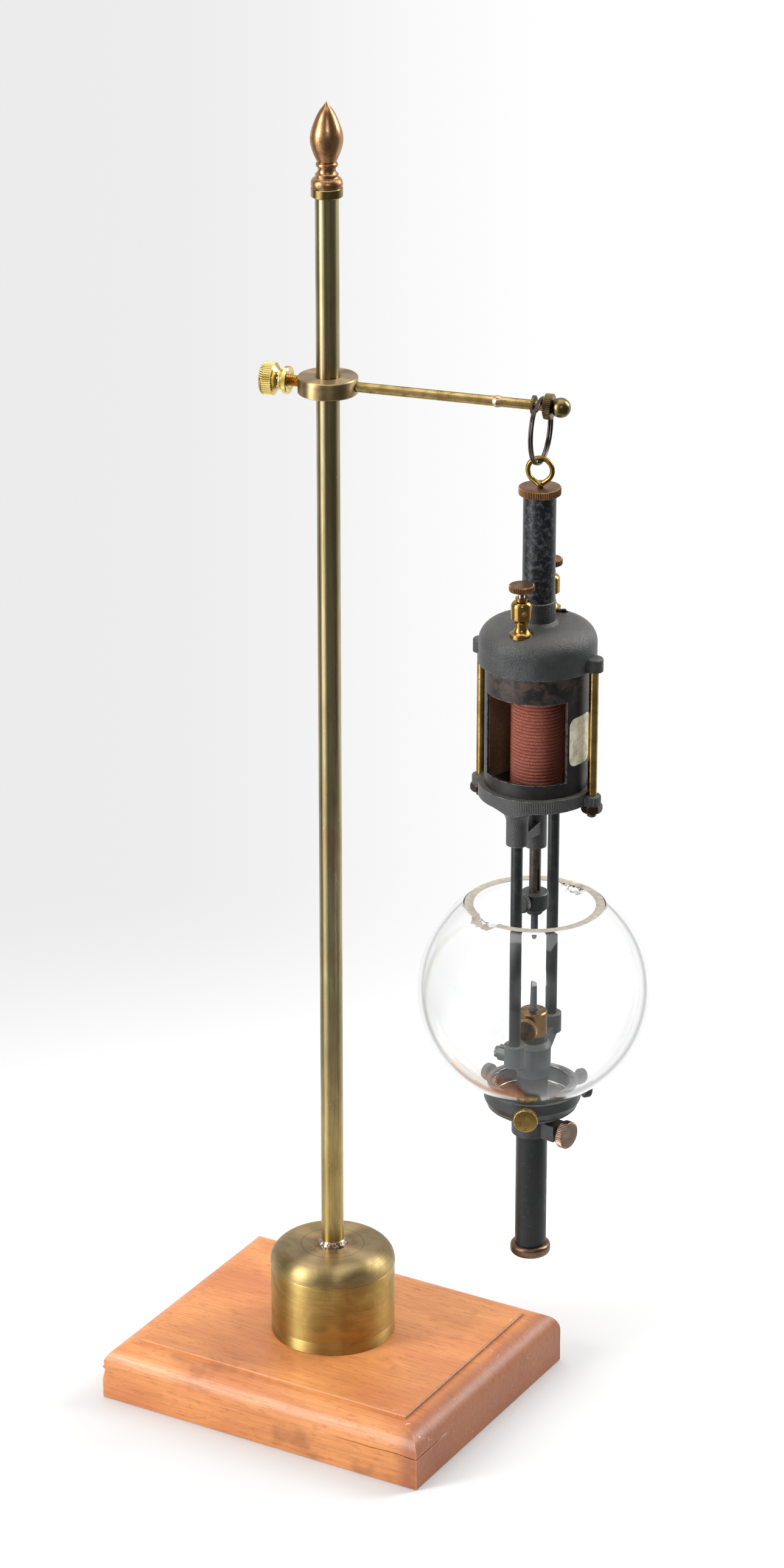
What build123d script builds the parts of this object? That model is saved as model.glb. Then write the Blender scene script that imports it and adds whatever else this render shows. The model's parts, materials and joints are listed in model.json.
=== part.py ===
from build123d import *
from math import cos, radians, sin, sqrt
import os

# Miniature electric arc lamp: a solenoid-regulated lamp with a clear globe, hung by a split ring
# from the arm of a brass pillar stand on a moulded wooden base.
# Millimetres. +Z is up. The origin is the centre of the base's underside, on the pillar's axis.
# +X runs along the base's long side, towards the end that the arm points over.

os.makedirs("parts", exist_ok=True)

# ---- fits ----
SEAT = 0.02  # radial gap of a fixed piece in its seat
RUN = 0.05  # radial running clearance of a piece that moves
GAP = 0.1  # end gap beside a piece that moves

# ---- wooden base ----
BASE_LENGTH = 155.6
BASE_WIDTH = 127.0
BASE_HEIGHT = 26.0
BASE_BAND = 14.8  # plain vertical edge under the moulding
MOULDING_R = 9.8  # quarter-round
PANEL_INSET = 12.0

# ---- pillar and its foot ----
PILLAR_R = 9.525 / 2
PILLAR_BORE_R = 3.75
PILLAR_TOP = 528.6
PILLAR_BOTTOM = 8.0  # floor of its blind hole in the base
DRUM_R = 26.6
DRUM_WALL = 1.5
DRUM_TOP = 58.3
CAP_HEIGHT = 8.1
CAP_LIP = 0.2
CAP_EDGE_R = 7.6
CAP_TOP = DRUM_TOP + CAP_HEIGHT
BALLAST_R = 24.7
BALLAST_TOP = 56.3
BALLAST_CLEARANCE = 0.3  # round the pillar
FERRULE_R = 6.45
FERRULE_HEIGHT = 2.6

# ---- finial ----
FINIAL_COLLAR_R = 6.4
FINIAL_COLLAR_HEIGHT = 3.8
FINIAL_SPIGOT_LENGTH = 9.0
FINIAL_HEIGHT = 34.6

# ---- bracket ----
BRACKET_YAW = 11.5
BRACKET_Z = 451.8
BRACKET_HEIGHT = 6.9
BRACKET_R = 12.15
LINER_R = 5.55
LINER_SLIT = 0.6
STUD_R = 2.35
STUD_FREE = 3.9  # thread seen between the collar and the thumb nut
THUMB_NUT_LENGTH = 11.4
THUMB_NUT_HEAD_R = 6.65
THUMB_NUT_FLANGE_R = 5.7
THUMB_NUT_NECK_R = 4.1
ARM_R = 2.05
ARM_REACH = 88.5  # pillar axis to lamp axis
ARM_JOINT = 70.6  # brazed joint between the arm's two lengths
ARM_TIP_END = 95.6
ARM_WASHER_R = 3.85
ARM_NUT_R = 5.15
ARM_NUT_LENGTH = 3.2
ARM_NUT_START = ARM_REACH + 1.7
ARM_POCKET = 2.5  # wall of the collar left behind the arm's end
BALL_R = 4.0
BALL_CENTRE = ARM_REACH + 8.1

# ---- hanging ring and eye ----
RING_R = 13.05  # to the wire's centre
RING_WIRE_R = 0.66
RING_COIL_OFFSET = 0.62
EYE_R = 4.95
EYE_WIRE_R = 1.0
EYE_DROP = 3.18  # eye centre below the ring's lower wire
EYE_HEAD_R = 2.6
RING_CENTRE_Z = BRACKET_Z + ARM_R + 0.05 + RING_WIRE_R - RING_R
RING_LOW_Z = RING_CENTRE_Z - RING_R
EYE_CENTRE_Z = RING_LOW_Z - EYE_DROP

# ---- lamp: heights above the table, radii about the lamp's own axis ----
LAMP_X = ARM_REACH * cos(radians(BRACKET_YAW))
LAMP_Y = ARM_REACH * sin(radians(BRACKET_YAW))
LAMP_YAW = 3.0  # the lamp's tie rods stand along its own X, turned this much from the base

TOP_CAP_R = 8.5
TOP_CAP_Z = 418.4
TOP_CAP_BAND = 3.0
TOP_TUBE_R = 6.6
TOP_TUBE_BORE_R = 5.9
SOCKET_R = 7.05
SOCKET_TOP = 371.1
TOP_CASTING_R = 23.9
TOP_CASTING_Z = 361.4
TOP_CASTING_BOTTOM = 344.9
TOP_CASTING_SHOULDER = 8.0
TOP_CASTING_CAVITY_Z = 356.6

HOUSING_R = 21.2
HOUSING_WALL = 1.1
HOUSING_TOP = 350.0
HOUSING_BOTTOM = 290.2
WINDOW_LOW = 299.0
WINDOW_HIGH = 333.6
WINDOW_HALF_ANGLE = 52.7
WINDOW_YAW = -82.7

PLATE_R = 23.6
PLATE_TOP = 293.0
PLATE_BOTTOM = 287.6
LUG_REACH = 24.9  # tie-rod axis from the lamp axis
LUG_R = 3.7
UPPER_LUG_TOP = 350.4
LOWER_LUG_TOP = 291.4
LOWER_LUG_BOTTOM = 287.4
TIE_ROD_R = 1.95
TIE_ROD_BLIND = 3.0
TIE_ROD_END = 281.9
ROD_NUT_FLATS = 7.7
ROD_NUT_HEIGHT = 3.2

SIDE_ROD_Y = 17.5
SIDE_ROD_R = 2.4
LEG_BOSS_R = 4.5
LEG_BOSS_BOTTOM = 271.6
REAR_BOSS_BOTTOM = 277.0
GUIDE_BOSS_R = 4.6
GUIDE_BOSS_BOTTOM = 264.4
SIDE_ROD_TOP = 286.0
LEG_FLARE = 6.2  # concave fillet between a leg boss and the plate
WEB_THICK = 2.4
WEB_LEDGE = 6.8  # width of the thick bar along the web's lower edge
WEB_LEDGE_Z = 276.0

BOBBIN_BORE_R = 4.95
BOBBIN_TUBE_R = 5.8
BOBBIN_FLANGE_R = 12.6
BOBBIN_FLANGE = 1.4
BOBBIN_LOW = HOUSING_BOTTOM
BOBBIN_HIGH = 345.5
WINDING_R = 10.75
CORE_R = BOBBIN_BORE_R - RUN
CORE_TOP = 348.0
CLUTCH_R = 8.0
CLUTCH_HEIGHT = 2.2

POST_REACH = 15.8
FRONT_POST_YAW = -90.0
REAR_POST_YAW = 99.0
POST_SPOT_FACE = 1.0
POST_FOOT_R = 4.7
POST_SHANK_R = 1.45
POST_HOLE_R = 1.3
POST_HOLE_HEIGHT = 10.6
POST_HOLE_YAW = -45.0  # the wire hole's outward direction
POST_SCREW_HEAD_R = 5.15
POST_SCREW_HEAD = 2.7
INSULATOR_R = 4.9
INSULATOR_HEIGHT = 0.8
INSULATOR_BUSH_R = 2.6
INSULATOR_BUSH_END = TOP_CASTING_CAVITY_Z - 0.6
POST_NUT_FLATS = 5.0
POST_NUT_HEIGHT = 2.0
LEAD_HOLE_R = 1.9
LEAD_HOLE_YAW = 76.0
LEAD_R = 0.6
LEAD_BEND_Z = 352.0  # where a lead turns in towards the coil

FEED_ROD_R = 2.4
FEED_ROD_TOP = 384.0
UPPER_CLAMP_R = 5.7
UPPER_CLAMP_TOP = 244.0
UPPER_CLAMP_BOTTOM = 236.0
UPPER_SCREW_YAW = -106.0
CLAMP_STEP_Z = UPPER_CLAMP_BOTTOM + 3.6  # the feed rod's end inside the clamp
UPPER_SCREW_Z = UPPER_CLAMP_BOTTOM + 5.2
UPPER_CLAMP_NOSE_R = 3.2
UPPER_CLAMP_NOSE = 1.6  # nose below the socket
CLAMP_SCREW_R = 1.4  # shank of both carbon screws
CLAMP_SCREW_NECK_R = 1.8
CLAMP_SCREW_NECK = 0.6
CLAMP_SCREW_HEAD = 2.6
UPPER_SCREW_HEAD_R = 4.3
LOWER_SCREW_HEAD_R = 4.9
CARBON_R = 1.5
UPPER_CARBON_TIP = 222.5

GLOBE_R = 47.85
GLOBE_WALL = 2.1
GLOBE_CENTRE_Z = 200.0
GLOBE_RIM_R = 28.75
GLOBE_NECK_R = 17.8
GLOBE_NECK_BOTTOM = 148.6

HOLDER_R = 5.8
HOLDER_TOP = 190.3
HOLDER_BOTTOM = 179.3
LOWER_SCREW_YAW = -85.0
LOWER_SCREW_Z = 184.6
LOWER_CARBON_TOP = 203.0

YOKE_TOP = 176.6
YOKE_HUB_R = 7.6
YOKE_BOTTOM = 161.0
FRONT_SOCKET_TOP = 181.8
FRONT_SOCKET_BOTTOM = 172.6
REAR_SOCKET_TOP = 181.8
REAR_SOCKET_BOTTOM = 173.6
SOCKET_ROD_R = 4.4
SOCKET_FLOOR = 1.0  # metal left below a side rod in its socket
HOLDER_SPIGOT_R = 3.0
HOLDER_SPIGOT = 6.0
PINCH_Z = 177.0  # pinch screw of the split front socket
PINCH_R = 1.2
PINCH_HEAD_R = 2.4
PINCH_START = 2.6  # clear of the side rod
PINCH_LENGTH = 4.0
PINCH_BOSS_R = 3.4
PINCH_HEAD = 1.8
PINCH_SLOT_WIDTH = 0.6
PINCH_SLOT_DEPTH = 0.7
SOCKET_SLIT = 0.8
YOKE_ARM_WIDTH = 5.6

TAIL_TUBE_R = 6.55
TAIL_TUBE_BORE_R = 5.2
TAIL_CAP_R = 8.45
TAIL_CAP_TOP = 82.5
TAIL_CAP_BOTTOM = 77.7
TAIL_CAP_FLOOR = 2.0

GALLERY_R = 20.2
GALLERY_TOP = 155.6
GALLERY_FLOOR = 146.6
GALLERY_BOWL_BOTTOM = 142.6
GALLERY_INNER_R = 18.7
GALLERY_HUB_R = 8.5
GALLERY_HUB_BOTTOM = 134.6
GALLERY_SCREW_YAW = -12.0
GALLERY_SCREW_Z = 138.3
GALLERY_SCREW_FACE = 16.2  # inner face of the screw's head, from the axis
GALLERY_SCREW_R = 1.75
GALLERY_SCREW_HEAD_R = 5.85
GALLERY_SCREW_HEAD = 3.6
GALLERY_SCREW_NECK_R = 2.6
GALLERY_SCREW_NECK = 1.4
GLOBE_SCREW_YAWS = (-71.0, 49.0, 169.0)
GLOBE_SCREW_Z = 151.2
GLOBE_SCREW_R = 1.6
GLOBE_SCREW_SHANK_END = 21.6  # from the axis
GLOBE_SCREW_HEAD_R = 5.2
GLOBE_SCREW_HEAD = 3.0
GLOBE_SCREW_NECK_R = 2.4
GLOBE_SCREW_NECK = 1.0

LABEL_YAW_FROM = -27.0
LABEL_YAW_TO = 12.0
LABEL_LOW = 305.2
LABEL_HIGH = 326.2
LABEL_THICK = 0.15


def rod(radius, low, high, x=0.0, y=0.0):
    """Upright round bar between two heights."""
    return Pos(x, y, (low + high) / 2) * Cylinder(radius, high - low)


def ring(outer, inner, low, high, x=0.0, y=0.0):
    """Upright plain ring between two heights."""
    return rod(outer, low, high, x, y) - rod(inner, low - 1, high + 1, x, y)


def turned(*points):
    """Solid of revolution about Z from an outline of (radius, height) points."""
    return revolve(make_face(Plane.XZ * Polyline(*points, close=True)), Axis.Z)


def turned_edges(*edges):
    """Solid of revolution about Z from joined edges drawn in (radius, height)."""
    return revolve(make_face([Plane.XZ * edge for edge in edges]), Axis.Z)


def along(yaw, height, start=0.0):
    """Place that lays a piece down: its Z points outwards at a yaw and height, its X points up."""
    direction = Vector(cos(radians(yaw)), sin(radians(yaw)), 0)
    return Plane(origin=direction * start + Vector(0, 0, height), x_dir=(0, 0, 1), z_dir=direction).location


def knob(head_r, head, neck_r, neck, shank_r, shank):
    """Thumbscrew about Z: plain shank from 0, then a neck and a bevelled round head."""
    bevel = 0.4
    head_low = shank + neck
    top = head_low + head
    return turned(
        (0, 0),
        (shank_r, 0),
        (shank_r, shank),
        (neck_r, shank),
        (neck_r, head_low),
        (head_r - bevel, head_low),
        (head_r, head_low + bevel),
        (head_r, top - bevel),
        (head_r - bevel, top),
        (0, top),
    )


def hexagon(flats, low, high, x=0.0, y=0.0):
    """Upright hexagonal nut blank between two heights."""
    return Pos(x, y, low) * extrude(RegularPolygon(flats / sqrt(3), 6), high - low)


def save(shape, name):
    """Write one node."""
    shape.label = name
    export_step(shape, f"parts/{name}.step")


def on_lamp(shape):
    """Move a piece from the lamp's own axis to its place under the arm."""
    return Pos(LAMP_X, LAMP_Y, 0) * Rot(0, 0, LAMP_YAW) * shape


# ---- stand ----


def edge_profile(half_width):
    """Outline across the base: plain edge, quarter-round moulding and raised panel."""
    step_z = BASE_BAND + MOULDING_R
    outline = []
    for side in (1, -1):
        edge = side * half_width
        moulding = side * (half_width - MOULDING_R)
        panel = side * (half_width - PANEL_INSET)
        bulge = MOULDING_R * sin(radians(45))
        corner = (moulding + side * bulge, BASE_BAND + bulge)
        outline += [
            Line((side * 0.0, 0), (edge, 0)),
            Line((edge, 0), (edge, BASE_BAND)),
            ThreePointArc((edge, BASE_BAND), corner, (moulding, step_z)),
            Line((moulding, step_z), (panel, step_z)),
            Line((panel, step_z), (panel, BASE_HEIGHT)),
            Line((panel, BASE_HEIGHT), (side * 0.0, BASE_HEIGHT)),
        ]
    return make_face(outline)


def wooden_base():
    """Moulded board with a blind hole that the pillar is glued into."""
    across = extrude(Plane.XZ * edge_profile(BASE_LENGTH / 2), BASE_WIDTH / 2, both=True)
    through = extrude(Plane.YZ * edge_profile(BASE_WIDTH / 2), BASE_LENGTH / 2, both=True)
    board = across & through
    return board - rod(PILLAR_R + SEAT, PILLAR_BOTTOM - SEAT, BASE_HEIGHT + 1)


def base_drum():
    return ring(DRUM_R, DRUM_R - DRUM_WALL, BASE_HEIGHT, DRUM_TOP)


def base_ballast():
    return ring(BALLAST_R, PILLAR_R + BALLAST_CLEARANCE, BASE_HEIGHT, BALLAST_TOP)


def base_cap():
    """Domed cover with a spigot that drops inside the drum."""
    edge_r = DRUM_R + CAP_LIP
    seat_r = DRUM_R - 2 * DRUM_WALL
    dome = rod(edge_r, DRUM_TOP, CAP_TOP)
    dome = fillet(dome.edges().group_by(Axis.Z)[-1], CAP_EDGE_R)
    inside = rod(edge_r - DRUM_WALL, DRUM_TOP - 1, CAP_TOP - DRUM_WALL)
    inside = fillet(inside.edges().group_by(Axis.Z)[-1], CAP_EDGE_R - DRUM_WALL)
    cap = dome - inside
    cap += ring(edge_r - 0.5, seat_r, DRUM_TOP, DRUM_TOP + DRUM_WALL)
    cap += ring(DRUM_R - DRUM_WALL - SEAT, seat_r, DRUM_TOP - 1.5, DRUM_TOP + 1)
    return cap - rod(PILLAR_R + SEAT, DRUM_TOP - 2, CAP_TOP + 1)


def pillar_tube():
    return ring(PILLAR_R, PILLAR_BORE_R, PILLAR_BOTTOM, PILLAR_TOP)


def pillar_ferrule():
    low = CAP_TOP
    high = CAP_TOP + FERRULE_HEIGHT
    return turned(
        (PILLAR_R + SEAT, low),
        (FERRULE_R, low),
        (FERRULE_R, high - 0.8),
        (PILLAR_R + 0.5, high),
        (PILLAR_R + SEAT, high),
    )


def finial_collar():
    low = PILLAR_TOP
    blank = rod(FINIAL_COLLAR_R, low, low + FINIAL_COLLAR_HEIGHT)
    blank = chamfer(blank.edges(), 0.3)
    return blank - rod(PILLAR_BORE_R, low - 1, low + FINIAL_COLLAR_HEIGHT + 1)


def finial():
    """Turned flame finial: ovolo foot, fillet ring, neck, bead and pointed flame."""
    foot = PILLAR_TOP + FINIAL_COLLAR_HEIGHT
    tip = foot + FINIAL_HEIGHT
    flame = foot + 10.1
    spigot_r = PILLAR_BORE_R - SEAT
    return turned_edges(
        Line((0, foot - FINIAL_SPIGOT_LENGTH), (spigot_r, foot - FINIAL_SPIGOT_LENGTH)),
        Line((spigot_r, foot - FINIAL_SPIGOT_LENGTH), (spigot_r, foot)),
        Line((spigot_r, foot), (6.0, foot)),
        ThreePointArc((6.0, foot), (6.35, foot + 1.9), (4.9, foot + 4.0)),
        Line((4.9, foot + 4.0), (4.65, foot + 4.4)),
        Line((4.65, foot + 4.4), (4.65, foot + 5.3)),
        ThreePointArc((4.65, foot + 5.3), (3.65, foot + 6.6), (3.75, foot + 8.0)),
        ThreePointArc((3.75, foot + 8.0), (4.4, foot + 9.0), (3.75, flame)),
        Spline(
            (3.75, flame),
            (5.6, flame + 4.2),
            (6.6, flame + 9.2),
            (5.0, flame + 15.8),
            (2.2, flame + 21.2),
            (0, tip),
            tangents=[(1.2, 2.4), (-1.0, 2.6)],
        ),
        Line((0, tip), (0, foot - FINIAL_SPIGOT_LENGTH)),
    )


# ---- bracket ----

bracket_low = BRACKET_Z - BRACKET_HEIGHT / 2
bracket_high = BRACKET_Z + BRACKET_HEIGHT / 2
stud_tip = LINER_R + RUN
thumb_nut_start = BRACKET_R + STUD_FREE


def bracket_liner():
    """Split sleeve on the pillar, squeezed by the clamp screw."""
    sleeve = ring(LINER_R, PILLAR_R + RUN, bracket_low, bracket_high)
    slit = along(BRACKET_YAW + 90, BRACKET_Z, LINER_R) * Box(BRACKET_HEIGHT + 2, LINER_SLIT, 2 * LINER_R - 6)
    return sleeve - slit


def bracket_collar():
    blank = chamfer(rod(BRACKET_R, bracket_low, bracket_high).edges(), 0.35)
    blank -= rod(LINER_R + RUN, bracket_low - 1, bracket_high + 1)
    blank -= along(BRACKET_YAW + 180, BRACKET_Z, LINER_R) * rod(STUD_R + RUN, 0, BRACKET_R)
    return blank - along(BRACKET_YAW, BRACKET_Z, LINER_R + ARM_POCKET) * rod(ARM_R + SEAT, 0, BRACKET_R)


def clamp_stud():
    length = thumb_nut_start + THUMB_NUT_LENGTH - 3 - stud_tip
    return along(BRACKET_YAW + 180, BRACKET_Z, stud_tip) * rod(STUD_R, 0, length)


def clamp_thumb_nut():
    """Knurled head outwards, hollow neck, and a flange with a countersunk face."""
    length = THUMB_NUT_LENGTH
    bore = STUD_R + SEAT
    nut = turned_edges(
        Line((bore, 0.9), (4.4, 0)),
        Line((4.4, 0), (THUMB_NUT_FLANGE_R, 0)),
        Line((THUMB_NUT_FLANGE_R, 0), (THUMB_NUT_FLANGE_R, 2.2)),
        ThreePointArc((THUMB_NUT_FLANGE_R, 2.2), (THUMB_NUT_NECK_R, 4.3), (THUMB_NUT_HEAD_R - 0.5, 6.2)),
        Line((THUMB_NUT_HEAD_R - 0.5, 6.2), (THUMB_NUT_HEAD_R, 6.7)),
        Line((THUMB_NUT_HEAD_R, 6.7), (THUMB_NUT_HEAD_R, length - 0.6)),
        Line((THUMB_NUT_HEAD_R, length - 0.6), (THUMB_NUT_HEAD_R - 0.6, length)),
        Line((THUMB_NUT_HEAD_R - 0.6, length), (0, length)),
        Line((0, length), (0, length - 2.9)),
        Line((0, length - 2.9), (bore, length - 2.9)),
        Line((bore, length - 2.9), (bore, 0.9)),
    )
    return along(BRACKET_YAW + 180, BRACKET_Z, thumb_nut_start) * nut


def arm_rod():
    start = LINER_R + ARM_POCKET + SEAT
    return along(BRACKET_YAW, BRACKET_Z, start) * rod(ARM_R, 0, ARM_JOINT - start)


def arm_tip():
    return along(BRACKET_YAW, BRACKET_Z, ARM_JOINT) * rod(ARM_R, 0, ARM_TIP_END - ARM_JOINT)


def arm_washer():
    plain = ring(ARM_WASHER_R, ARM_R + SEAT, 0, 1.0)
    return along(BRACKET_YAW, BRACKET_Z, ARM_REACH - 3.4) * plain


def arm_nut():
    blank = chamfer(rod(ARM_NUT_R, 0, ARM_NUT_LENGTH).edges(), 0.3)
    blank -= rod(ARM_R + RUN, -1, ARM_NUT_LENGTH + 1)
    return along(BRACKET_YAW, BRACKET_Z, ARM_NUT_START) * blank


def arm_ball():
    """Ball screwed on the arm's end, faced flat towards the nut."""
    face = ARM_NUT_START + ARM_NUT_LENGTH + GAP
    depth = BALL_CENTRE - face
    ball = Sphere(BALL_R) - Pos(0, 0, -depth - BALL_R) * Box(3 * BALL_R, 3 * BALL_R, 2 * BALL_R)
    ball -= rod(ARM_R + SEAT, -BALL_R, ARM_TIP_END - BALL_CENTRE + SEAT)
    return along(BRACKET_YAW, BRACKET_Z, BALL_CENTRE) * ball


def split_ring():
    """Two turns of one wire, side by side, in the plane square to the arm."""
    coils = [
        along(BRACKET_YAW, RING_CENTRE_Z, ARM_REACH + side * RING_COIL_OFFSET) * Torus(RING_R, RING_WIRE_R)
        for side in (-1, 1)
    ]
    return coils[0] + coils[1]


def lamp_eye():
    """Wire eye: a loop in the arm's plane on a shank that turns in the lamp's cap."""
    start_angle = -48
    open_angle = 228
    cap_entry = TOP_CAP_Z + 0.1
    first = (EYE_R * cos(radians(start_angle)), EYE_CENTRE_Z + EYE_R * sin(radians(start_angle)))
    last = (EYE_R * cos(radians(open_angle)), EYE_CENTRE_Z + EYE_R * sin(radians(open_angle)))
    shank_low = TOP_CAP_Z - TOP_CAP_BAND - 6.0 - GAP - 1.0
    shank = Line((0, shank_low), (0, cap_entry))
    loop_start = (-sin(radians(start_angle)), cos(radians(start_angle)))
    lead = Spline((0, cap_entry), first, tangents=[(0, 1), loop_start])
    loop = ThreePointArc(first, (0, EYE_CENTRE_Z + EYE_R), last)
    path = Plane.XZ * Wire([shank, lead, loop])
    wire = sweep(Plane(path @ 0, z_dir=path % 0) * Circle(EYE_WIRE_R), path)
    head = rod(EYE_HEAD_R, shank_low - 0.6, shank_low + 1.0)
    return Pos(LAMP_X, LAMP_Y, 0) * Rot(0, 0, BRACKET_YAW) * (wire + head)


# ---- lamp top ----


def polar(yaw, reach):
    """Upright place at a distance and direction from the axis."""
    return Pos(reach * cos(radians(yaw)), reach * sin(radians(yaw)), 0)


front_post_place = polar(FRONT_POST_YAW, POST_REACH)
rear_post_place = polar(REAR_POST_YAW, POST_REACH)
lead_hole_place = polar(LEAD_HOLE_YAW, POST_REACH + 0.4)
front_post_seat = TOP_CASTING_Z - POST_SPOT_FACE
rear_post_seat = front_post_seat + INSULATOR_HEIGHT


def top_cap():
    low = TOP_CAP_Z - TOP_CAP_BAND
    band = chamfer(rod(TOP_CAP_R, low, TOP_CAP_Z).edges(), 0.4)
    spigot = rod(TOP_TUBE_BORE_R - SEAT, low - 6, low)
    return band + spigot - rod(EYE_WIRE_R + RUN, low - 7, TOP_CAP_Z + 1)


def top_tube():
    return ring(TOP_TUBE_R, TOP_TUBE_BORE_R, TOP_CASTING_Z - 2, TOP_CAP_Z - TOP_CAP_BAND)


def lug(low, high, side):
    """Rounded lug that stands out from a casting around a tie rod."""
    height = high - low
    root = HOUSING_R - 1.2
    reach = LUG_REACH - root
    body = Pos(side * (root + reach / 2), 0, low + height / 2) * Box(reach, 2 * LUG_R, height)
    return fillet((body + rod(LUG_R, low, high, side * LUG_REACH)).edges().group_by(Axis.Z)[-1], 0.8)


def top_casting():
    """Deep cast lid: rounded shoulder, central socket, lugs for the tie rods."""
    lid = rod(TOP_CASTING_R, TOP_CASTING_BOTTOM, TOP_CASTING_Z)
    lid = fillet(lid.edges().group_by(Axis.Z)[-1], TOP_CASTING_SHOULDER)
    for side in (1, -1):
        lid += lug(TOP_CASTING_BOTTOM, UPPER_LUG_TOP, side)
    flare_r = SOCKET_R + 1.2
    lid += turned(
        (0, TOP_CASTING_Z - 1),
        (flare_r, TOP_CASTING_Z - 1),
        (flare_r, TOP_CASTING_Z),
        (SOCKET_R, TOP_CASTING_Z + 1.4),
        (SOCKET_R, SOCKET_TOP - 0.4),
        (SOCKET_R - 0.4, SOCKET_TOP),
        (0, SOCKET_TOP),
    )
    lid -= rod(HOUSING_R + SEAT, TOP_CASTING_BOTTOM - 2, HOUSING_TOP + SEAT)
    lid -= rod(HOUSING_R - HOUSING_WALL, HOUSING_TOP - 1, TOP_CASTING_CAVITY_Z)
    lid -= rod(TOP_TUBE_R + SEAT, TOP_CASTING_Z - 2, SOCKET_TOP + 1)
    lid -= rod(TOP_TUBE_BORE_R, TOP_CASTING_CAVITY_Z - 1, TOP_CASTING_Z)
    for place, foot_r, hole_r in (
        (front_post_place, POST_FOOT_R, POST_SHANK_R),
        (rear_post_place, INSULATOR_R, INSULATOR_BUSH_R),
    ):
        lid -= place * rod(foot_r + SEAT, TOP_CASTING_Z - POST_SPOT_FACE, TOP_CASTING_Z + 1)
        lid -= place * rod(hole_r + SEAT, TOP_CASTING_CAVITY_Z - 1, TOP_CASTING_Z)
    lid -= lead_hole_place * rod(LEAD_HOLE_R, TOP_CASTING_CAVITY_Z - 1, TOP_CASTING_Z + 1)
    for side in (1, -1):
        top = UPPER_LUG_TOP - TIE_ROD_BLIND
        lid -= rod(TIE_ROD_R + SEAT, TOP_CASTING_BOTTOM - 2, top + SEAT, side * LUG_REACH)
    return lid


def binding_post(seat, shank_end):
    """Terminal: flared foot, waist, barrel with a cross hole for the wire, and a neck."""
    post = turned_edges(
        Line((0, 0), (POST_FOOT_R, 0)),
        Line((POST_FOOT_R, 0), (POST_FOOT_R, 1.5)),
        ThreePointArc((POST_FOOT_R, 1.5), (3.0, 3.0), (2.6, 5.2)),
        ThreePointArc((2.6, 5.2), (3.0, 6.9), (4.2, 7.8)),
        Line((4.2, 7.8), (4.25, 13.0)),
        ThreePointArc((4.25, 13.0), (3.6, 14.6), (2.5, 15.3)),
        Line((2.5, 15.3), (2.5, 16.6)),
        Line((2.5, 16.6), (0, 16.6)),
        Line((0, 16.6), (0, 0)),
    )
    post += rod(POST_SHANK_R, shank_end - seat, 1)
    post -= rod(POST_SHANK_R + RUN, POST_HOLE_HEIGHT, 20)
    post -= along(POST_HOLE_YAW, POST_HOLE_HEIGHT, -6) * rod(POST_HOLE_R, 0, 12)
    return Pos(0, 0, seat) * post


def binding_screw(seat):
    """Clamping screw of a terminal, clear of the wire hole."""
    tip = POST_HOLE_HEIGHT + POST_HOLE_R + 0.2
    under_head = 19.3
    head = knob(POST_SCREW_HEAD_R, POST_SCREW_HEAD, 2.0, 0.4, POST_SHANK_R, under_head - 0.4 - tip)
    return Pos(0, 0, seat + tip) * head


def post_insulator():
    """Ebonite washer and bush that keep the rear terminal clear of the lid."""
    washer = ring(INSULATOR_R, POST_SHANK_R + SEAT, front_post_seat, rear_post_seat)
    bush = ring(INSULATOR_BUSH_R, POST_SHANK_R + SEAT, INSULATOR_BUSH_END, front_post_seat + 0.1)
    return rear_post_place * (washer + bush)


def post_nuts():
    """Nuts that hold the two terminals from inside the lid."""
    nuts = []
    for place, top in (
        (front_post_place, TOP_CASTING_CAVITY_Z),
        (rear_post_place, INSULATOR_BUSH_END),
    ):
        low = top - POST_NUT_HEIGHT
        nuts.append(place * (hexagon(POST_NUT_FLATS, low, top) - rod(POST_SHANK_R + SEAT, low - 1, top + 1)))
    return Compound(nuts)


# ---- lamp body ----


def sector(outer, low, high, yaw, half_angle):
    """Wedge about the axis, from the centre past a radius."""
    reach = outer * 2
    spread = [yaw - half_angle, yaw, yaw + half_angle]
    corners = [(0, 0)] + [(reach * cos(radians(a)), reach * sin(radians(a))) for a in spread]
    return Pos(0, 0, low) * extrude(make_face(Polyline(*corners, close=True)), high - low)


def housing_tube():
    """Thin tube with a wide window on the coil."""
    tube = ring(HOUSING_R, HOUSING_R - HOUSING_WALL, HOUSING_BOTTOM, HOUSING_TOP)
    return tube - sector(HOUSING_R, WINDOW_LOW, WINDOW_HIGH, WINDOW_YAW, WINDOW_HALF_ANGLE)


def housing_label():
    """Blank paper label pasted on the tube's side."""
    middle = (LABEL_YAW_FROM + LABEL_YAW_TO) / 2
    half = (LABEL_YAW_TO - LABEL_YAW_FROM) / 2
    sleeve = ring(HOUSING_R + LABEL_THICK, HOUSING_R + 0.01, LABEL_LOW, LABEL_HIGH)
    return sleeve & sector(HOUSING_R, LABEL_LOW, LABEL_HIGH, middle, half)


def coil_bobbin():
    tube = ring(BOBBIN_TUBE_R, BOBBIN_BORE_R, BOBBIN_LOW, BOBBIN_HIGH)
    for low in (BOBBIN_LOW, BOBBIN_HIGH - BOBBIN_FLANGE):
        tube += ring(BOBBIN_FLANGE_R, BOBBIN_BORE_R, low, low + BOBBIN_FLANGE)
    return tube


def coil_winding():
    return ring(WINDING_R, BOBBIN_TUBE_R + SEAT, BOBBIN_LOW + BOBBIN_FLANGE, BOBBIN_HIGH - BOBBIN_FLANGE)


def solenoid_core():
    return ring(CORE_R, FEED_ROD_R + RUN, BOBBIN_LOW + GAP, CORE_TOP)


def clutch_ring():
    return ring(CLUTCH_R, FEED_ROD_R + RUN, CORE_TOP, CORE_TOP + CLUTCH_HEIGHT)


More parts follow.
